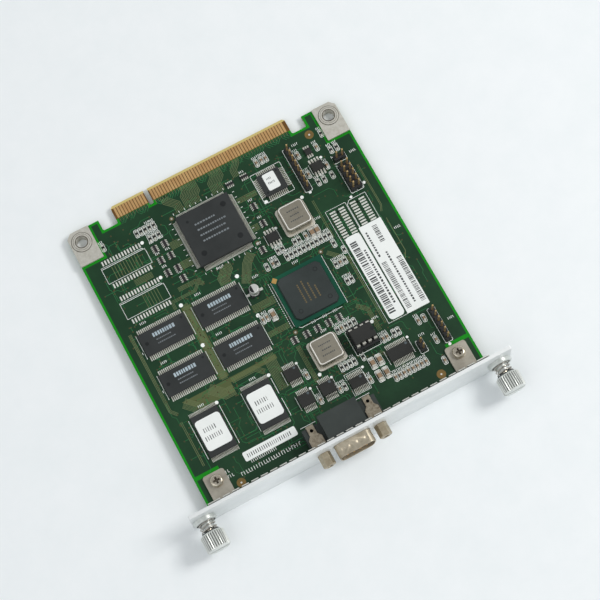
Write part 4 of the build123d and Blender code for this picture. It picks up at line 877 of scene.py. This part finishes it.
for box, x, y, *_ in solids("chip_resistors", "chip_capacitors", "resistor_arrays"):
    if marks.random() < markLook["shown"]:
        markStrokes(x - markLook["left"], box[1][1] + markLook["behind"], 3)
for x, y in ((-52, -48.5), (-27, -48.3), (-52, -67.2), (-27, -67.2), (-47, -90.2), (-24, -90.2), (-14, -42.6),
             (31, -43), (14, -55.3), (10.4, -86.4), (31, -91.5), (57.5, -24), (57.8, -106), (44, -106.6),
             (33, -101.9), (-56.6, -60), (-56.6, -78), (57.6, -62), (-3, -52.9), (37.8, -10.2)):
    markStrokes(x, y, 4)
for x, y, count, size in ((-44.4, -122.9, 24, 1.55), (-38.6, -119.9, 14, 1.15), (-49.6, -119.0, 2, 1.3),
                          (-49.6, -121.2, 3, 1.3), (12.0, -122.6, 4, 1.2)):
    markStrokes(x, y, count, size)
printHeight = 0.018
strips("boardPrint", printPaths, 0.22, pourTop, "print", "paper", printHeight)

dots = [(-35.7, -17.4, 1.5), (-35.8, -34.3, 1.5), (17, -26.3, 1.6), (30.8, -31.6, 1.5), (1.6, -101.2, 1.5),
        (21.2, -57.6, 1.4), (-33.9, -48.8, 1.7), (-8.3, -48.8, 1.7), (-33.8, -67.9, 1.7), (-8.5, -67.6, 1.7),
        (-39.8, -91.6, 1.5), (-16.4, -91.6, 1.5), (45.9, -19.9, 1.2), (15.1, -38.2, 1.2), (-4.4, -92.6, 1.1),
        (-4.4, -104.4, 1.1), (5.2, -104.4, 1.1), (18.1, -106.6, 1.1), (39.7, -104.3, 1.1), (30.4, -91.9, 1.5),
        (34.8, -31.2, 1.3), (56.2, -38.2, 1.3), (53.3, -115.0, 1.3), (48.5, -41.2, 1.2)]
stamps("pinOneDots", "disc", [(x, y, pourTop, size, size, printHeight) for x, y, size in dots],
       "print", "paper")
stamps("processorCorner", "plate", [(3.9, -58.3, 1.19, 2.1, 1.9, 0.02, 45)], "gold", "gold")
print("print laid:", len(printPaths), "strokes")


# Marks moulded or printed on the chips

dimpleDepth = 0.03  # how far a mark's disc reaches into the chip
dimples = []


def addDimple(x, y, top, size, height=0.04):
    dimples.append((x, y, top - dimpleDepth, size, size, height))


marksOnChips = {  # node: (x, y, diameter) of each mark
    "bridge_chip": ((-15.6, -34.6, 2.4), (0.8, -34.8, 2.4), (0.8, -19.4, 2.4), (-15.6, -19.4, 1.2)),
    "controller_chip": ((19.4, -23.6, 1.0), (26.8, -16.4, 0.9)),
    "boot_chip": ((28.1, -96.3, 1.7),),
}
for node, places in marksOnChips.items():
    for x, y, size in places:
        addDimple(x, y, topOf(node), size)
for low, high in solidBoxes("memory_chips"):
    addDimple(high[0] - 1.6, high[1] - 1.6, high[2], 1.1)
    addDimple(low[0] + 2.2, low[1] + 5.1, high[2], 1.6, 0.035)
for low, high in solidBoxes("gate_chips"):
    addDimple(high[0] - 0.9, high[1] - 1.0, high[2], 0.6)
capTop = topOf("processor_cap")
capRings = ((20.6, -62.0), (20.6, -75.0), (7.3, -75.0))
for x, y in capRings:
    addDimple(x, y, capTop, 1.9, 0.038)
stamps("mouldMarks", "disc", dimples, "mouldMark", "chip_moulding")
dimples.clear()
for low, high in solidBoxes("driver_chips"):
    addDimple(high[0] - 1.5, high[1] - 0.85, high[2], 1.1, 0.035)
stamps("driverDimples", "disc", dimples, "dimple", "chip_moulding")
discs("capRingFloors", capRings, capTop - dimpleDepth, 1.4, 0.042, "capMoulding", "chip_moulding")

dashLook = {"seed": 5, "shortest": 0.5, "height": 0.012}
rows = random.Random(dashLook["seed"])
dashes = []


def dashRow(x, y, top, width, dash, tall, turned=False, gap=0.35):  # plain short dashes in a line
    used = 0.0
    while used < width:
        long = rows.uniform(dashLook["shortest"], 1.0) * dash
        if turned:
            dashes.append((x, y + used + long / 2, top, tall, long, dashLook["height"]))
        else:
            dashes.append((x + used + long / 2, y, top, long, tall, dashLook["height"]))
        used += long + dash * gap


def layDashes(name, finish, slot="chip_moulding"):  # what has been gathered so far, as one piece
    stamps(name, "plate", dashes, finish, slot)
    dashes.clear()


for k, width in enumerate((9.0, 13.0, 11.0, 12.0)):
    dashRow(-13.5, -22.0 - k * 2.6, topOf("bridge_chip"), width, 1.0, 0.7)
for low, high in solidBoxes("memory_chips"):
    for k, width in enumerate((6.5, 7.5)):
        dashRow(low[0] + 6.4, high[1] - 5.2 - k * 1.7, high[2], width, 0.7, 0.45)
layDashes("chipDashes", "chipPrint")
for low, high in solidBoxes("memory_chips"):
    dashRow(low[0] + 5.8, high[1] - 2.9, high[2], 9.5, 1.0, 1.7)
layDashes("memoryDashes", "palePrint")
for k, width in enumerate((8.0, 9.5, 7.0, 5.5)):
    dashRow(11.0 + k * 2.1, -73.0, capTop, width, 0.8, 0.6, True)
layDashes("capDashes", "brownPrint")
for box, x, y, *_ in solids("clock_cans"):
    for k, width in enumerate((5.0, 4.0, 5.6)):
        dashRow(x - width / 2, y + 2.2 - k * 2.2, box[1][2], width, 0.8, 0.5)
layDashes("canDashes", "ink")

# Painted highlights round the clock cans' tops, a dark segment on the smoothing can, painted shade in rings round
# the bushes, painted shade in the screws' recesses
rimLook = {"inset": 0.62, "corner": 1.2, "cornerSteps": 6, "width": 0.36}
segmentLook = {"radius": 1.8, "chord": -0.5, "steps": 40}
recessLook = {"long": 2.7, "wide": 0.7, "depth": 1.02, "height": 0.08}


def arcPoints(x, y, radius, start, sweep, steps):
    angles = [start + sweep * k / steps for k in range(steps + 1)]
    return [(x + radius * math.cos(angle), y + radius * math.sin(angle)) for angle in angles]


def roundedOutline(x, y, wide, long, corner, inset):  # drawn in, with an arc at every corner
    reachX, reachY = wide / 2 - inset - corner, long / 2 - inset - corner
    points = []
    for quarter, (signX, signY) in enumerate(((1, 1), (-1, 1), (-1, -1), (1, -1))):
        points += arcPoints(x + signX * reachX, y + signY * reachY, corner, quarter * math.pi / 2,
                            math.pi / 2, rimLook["cornerSteps"])
    return points


# painted highlights, drawn as a pale band round each can's top
rimHighlightPaths = [(roundedOutline(x, y, wide, long, rimLook["corner"], rimLook["inset"]), True)
        for box, x, y, wide, long, tall in solids("clock_cans")]
strips("canRims", rimHighlightPaths, rimLook["width"], topOf("clock_cans"), "canRim", "tin", 0.01)
chord = math.acos(segmentLook["chord"] / segmentLook["radius"])
for box, x, y, *_ in solids("smoother_can"):
    segment = arcPoints(x, y, segmentLook["radius"], chord, 2 * math.pi - 2 * chord, segmentLook["steps"])
    flatPlates("canSegment", [(segment, box[1][2])], 0.012, "mouldMark", "chip_moulding")
bushSpots = [middle(box) for box in solidBoxes("corner_bushes")]
collarTop, plateTop = topOf("corner_bushes"), topOf("left_corner_plate")
# painted shade: dark rings at the bush's lip, on the collar and where the collar meets the plate
bushShadeRings = (("bushLipShade", 2.56, 0.36, collarTop), ("collarLineShade", 3.45, 0.12, collarTop),
             ("collarEdgeShade", 4.24, 0.22, plateTop))  # name, radius, width, height
for name, radius, width, height in bushShadeRings:
    circles = [(arcPoints(x, y, radius, 0, 2 * math.pi, 40)[:-1], True) for x, y in bushSpots]
    strips(name, circles, width, height, "groove", "tin", 0.012)
# painted shade: dark crosses laid in the screws' recesses
recesses = []
for box, x, y, *_ in solids("bracket_screws"):
    low = box[1][2] - recessLook["depth"]
    recesses.append((x, y, low, recessLook["long"], recessLook["wide"], recessLook["height"]))
    recesses.append((x, y, low, recessLook["wide"], recessLook["long"], recessLook["height"] + 0.001))
stamps("recessShade", "plate", recesses, "groove", "tin")


# Plain bars and dashes on the paper labels

def barRow(x, low, high, top, long, widths, gaps):  # bars of uneven width, one after the other
    while low < high:
        bar = rows.choice(widths)
        dashes.append((x, low, top, long, bar, dashLook["height"]))
        low += bar + rows.choice(gaps)


labelSize = {"card": 30, "small": 8, "panel": 20}  # mm: longer than, up to, wider than
for (low, high), x, y, wide, long, tall in solids("paper_labels"):
    left, front, back, top = low[0], low[1], high[1], high[2]
    if long > labelSize["card"] and wide < labelSize["small"]:  # narrow card label
        barRow(x - wide * 0.16, front + 3, back - 3, top, wide * 0.44,
               (0.25, 0.35, 0.5, 0.7), (0.3, 0.45, 0.6))
        dashRow(x + wide * 0.25, front + 6, top, long - 14, 1.2, 0.9, True)
    elif long > labelSize["card"]:  # wide card label
        for column, start, end in ((x - wide * 0.31, front + 2, front + 23.5),
                                   (x + wide * 0.34, front + 2, front + 23.5),
                                   (x + wide * 0.1, back - 9.5, back - 1.5)):
            barRow(column, start, end, top, 2.1, (0.2, 0.3, 0.45), (0.25, 0.4))
        dashRow(x, front + 3, top, 24, 1.1, 0.8, True)
        dashRow(x - wide * 0.33, back - 15, top, 12, 1.1, 0.8, True)
    elif wide > labelSize["panel"]:  # long label by the panel
        dashRow(left + 1.6, y, top, wide - 4.4, 0.4, 1.7, gap=1.5)
    elif wide > labelSize["small"]:  # flash chips' labels
        dashRow(x - 3.4, y + 1.9, top, 5.4, 0.36, 1.9, gap=1.9)
        dashRow(x - 4.2, y - 1.6, top, 7.2, 0.36, 1.9, gap=1.9)
    else:
        dashRow(x - 1.6, y + 1.4, top, 2.2, 0.3, 0.9, gap=1.2)
        dashRow(x - 1.6, y - 0.6, top, 2.6, 0.3, 0.9, gap=1.2)
layDashes("labelBars", "ink", "paper")
print("marks placed")


# Captive screws: turned shank with a cut thread, and the spring in the ferrule

screwLook = {"threadRadius": 2.0, "rootRadius": 1.6, "tipRadius": 1.45, "pitch": 0.7, "neckRadius": 1.5,
             "shankRadius": 2.5, "threadLength": 6.65, "shankLength": 3.6, "steps": 40, "ringsPerTurn": 10,
             "fadeIn": 0.5, "fadeOut": 0.4, "flank": 1.4, "shoulder": 0.01, "sharp": 38}
springLook = {"wire": 0.275, "radius": 3.2, "turns": 3.25, "ground": 0.45, "steps": 44, "sides": 12}


def roundAxis(centre, y, radius, angle):  # a point round a screw's axis
    return centre.x + radius * mm * math.cos(angle), y * mm, centre.z + radius * mm * math.sin(angle)


def tube(name, rings):  # rings of points, each joined to the next, closed at both ends
    steps = len(rings[0])
    faces = []
    for i in range(len(rings) - 1):
        for k in range(steps):
            a, b = i * steps + k, i * steps + (k + 1) % steps
            faces.append((a, b, b + steps, a + steps))
    faces.append(tuple(range(steps)))
    faces.append(tuple(range((len(rings) - 1) * steps, len(rings) * steps)))
    mesh = bpy.data.meshes.new(name)
    mesh.from_pydata([point for ring in rings for point in ring], [], faces)
    bm = bmesh.new()
    bm.from_mesh(mesh)
    bmesh.ops.recalc_face_normals(bm, faces=bm.faces)
    bm.to_mesh(mesh)
    bm.free()
    return mesh


def threadRadius(y, angle, start, end):  # a ridge that winds round, faded out at both ends
    depth = screwLook["threadRadius"] - screwLook["rootRadius"]
    fade = min(1.0, (y - start) / screwLook["fadeIn"], (end - y) / screwLook["fadeOut"])
    turn = (y / screwLook["pitch"] - angle / (2 * math.pi)) % 1.0
    ridge = min(1.0, screwLook["flank"] * (1 - abs(2 * turn - 1)))
    root = screwLook["rootRadius"] - (screwLook["rootRadius"] - screwLook["tipRadius"]) * (1 - fade)
    return root + depth * ridge * max(0.0, fade)


def captiveScrew(side):
    node = f"{side}_captive_screw"
    low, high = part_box(node)
    front, back = low.y / mm, high.y / mm
    threadStart = back - screwLook["threadLength"]
    neckFront = front + screwLook["shankLength"]
    shank, neck = screwLook["shankRadius"], screwLook["neckRadius"]
    angles = [2 * math.pi * k / screwLook["steps"] for k in range(screwLook["steps"])]

    def ring(y, radius):  # radius: a length, or a rule of y and the angle
        return [roundAxis((low + high) / 2, y, radius(y, angle) if callable(radius) else radius, angle)
                for angle in angles]

    def threaded(y, angle):
        return threadRadius(y, angle, threadStart, back)

    rings = [ring(y, radius) for y, radius in (
        (front, shank), (neckFront, shank), (neckFront + screwLook["shoulder"], neck), (threadStart, neck))]
    count = int(screwLook["threadLength"] / screwLook["pitch"] * screwLook["ringsPerTurn"])
    rings += [ring(threadStart + screwLook["threadLength"] * i / count, threaded) for i in range(1, count)]
    rings.append(ring(back, screwLook["tipRadius"]))
    mesh = tube(f"{side}CaptiveScrew", rings)
    for polygon in mesh.polygons:
        polygon.use_smooth = len(polygon.vertices) == 4
    mesh.set_sharp_from_angle(angle=math.radians(screwLook["sharp"]))
    addPiece(mesh, f"{side}CaptiveScrew", "steel", slotOf[node], bodyOf[node], (node,))


def springCoil(side):
    node = f"{side}_spring"
    low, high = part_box(node)
    centre = (low + high) / 2
    thick = springLook["wire"]
    start, end = high.y / mm - thick, low.y / mm + thick
    total = springLook["turns"] + 2 * springLook["ground"]
    count = int(total * springLook["steps"])
    rings = []
    for i in range(count + 1):
        turn = total * i / count
        share = (turn - springLook["ground"]) / springLook["turns"]
        share = min(1.0, max(0.0, share))  # the ground ends lie flat
        y = start + (end - start) * share
        ring = []
        for k in range(springLook["sides"]):
            around = 2 * math.pi * k / springLook["sides"]
            ring.append(roundAxis(centre, y + thick * math.sin(around),
                                  springLook["radius"] + thick * math.cos(around), 2 * math.pi * turn))
        rings.append(ring)
    mesh = tube(f"{side}Spring", rings)
    for polygon in mesh.polygons:
        polygon.use_smooth = True
    piece = addPiece(mesh, f"{side}Spring", "spring", slotOf[node], "root", (node,))
    push = next(joint for joint in frame["joints"] if joint["name"] == f"{side}_screw_push")
    keep = 1 - max(push["range_m"]) / (high.y - low.y)
    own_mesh(piece)


for side in ("left", "right"):
    captiveScrew(side)
    springCoil(side)
print("captive screws turned")


# Floor, tilted so that the panel's edge and the corner bushes rest on it

floorLook = {"size": 3.0, "colour": (240, 244, 246), "worn": (236, 241, 243)}
panelLow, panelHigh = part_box("front_panel")
bushLow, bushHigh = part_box("corner_bushes")
slope = (bushLow.z - panelLow.z) / (bushHigh.y - panelHigh.y)
half = floorLook["size"]
floorMesh = bpy.data.meshes.new("floor")
floorMesh.from_pydata([(x, y, panelLow.z + (y - panelHigh.y) * slope)
                       for x, y in ((-half, -half), (half, -half), (half, half), (-half, half))],
                      [], [(0, 1, 2, 3)])
floorMesh.materials.append(makeFinish("paleTable", floorLook["colour"], floorLook["worn"], 0.75, 0.05,
                                      depth=0))
floor = newObject("floor", floorMesh)

# Light: a soft lamp high on the right, a weak broad one on the left, and an even sky
lamps = {
    "keyLamp": {"place": (0.86, -0.21, 0.98), "size": 0.4, "power": 7.4, "colour": (1.0, 0.985, 0.96)},
    "fillLamp": {"place": (-0.75, -0.5, 1.2), "size": 1.1, "power": 3.4, "colour": (0.98, 0.99, 1.0)},
}
aim = onCard(0, -65)
for name, look in lamps.items():
    lamp = bpy.data.lights.new(name, "AREA")
    lamp.size = look["size"]
    lamp.energy = look["power"]
    lamp.color = look["colour"]
    lampObject = newObject(name, lamp)
    lampObject.location = look["place"]
    lampObject.rotation_euler = (aim - Vector(look["place"])).to_track_quat("-Z", "Y").to_euler()

skyLook = {"tint": (0.965, 0.985, 1.0, 1), "fill": 0.58, "seen": 0.88, "horizon": 1.0, "overhead": 0.4,
           "edgeLow": 0.1, "edgeHigh": 0.62}
scene.world = bpy.data.worlds.new("sky")
scene.world.use_nodes = True
sky = scene.world.node_tree
background = sky.nodes["Background"]
background.inputs["Color"].default_value = skyLook["tint"]
direction = addNode(sky, "ShaderNodeTexCoord")
apart = addNode(sky, "ShaderNodeSeparateXYZ")
walls = {"From Min": skyLook["edgeLow"], "From Max": skyLook["edgeHigh"], "To Min": skyLook["horizon"],
         "To Max": skyLook["overhead"]}  # pale walls all round, a darker ceiling, as metal shows them
mirrored = addNode(sky, "ShaderNodeMapRange", walls, interpolation_type="SMOOTHSTEP")
path = addNode(sky, "ShaderNodeLightPath")
glossy = addNode(sky, "ShaderNodeMix", {"A": skyLook["fill"]}, data_type="FLOAT")
seen = addNode(sky, "ShaderNodeMix", {"B": skyLook["seen"]}, data_type="FLOAT")
wire(sky, (direction, "Generated", apart, 0), (apart, "Z", mirrored, "Value"),
     (path, "Is Glossy Ray", glossy, "Factor"), (mirrored, "Result", glossy, "B"),
     (path, "Is Camera Ray", seen, "Factor"), (glossy, "Result", seen, "A"),
     (seen, "Result", background, "Strength"))

# Camera, at the photograph's own place
cameraLook = {"place": (-0.0716, -0.28842, 0.7567), "turn": (16.789, 2.286, -28.126), "focalPixels": 1958.1,
              "framePixels": 600, "sensor": 36.0}
cameraData = bpy.data.cameras.new("camera")
cameraData.sensor_width = cameraLook["sensor"]
cameraData.lens = cameraLook["focalPixels"] / cameraLook["framePixels"] * cameraLook["sensor"]
cameraData.clip_start = 0.01
camera = newObject("camera", cameraData)
camera.location = cameraLook["place"]
camera.rotation_euler = [math.radians(angle) for angle in cameraLook["turn"]]
scene.camera = camera
print("stage set")
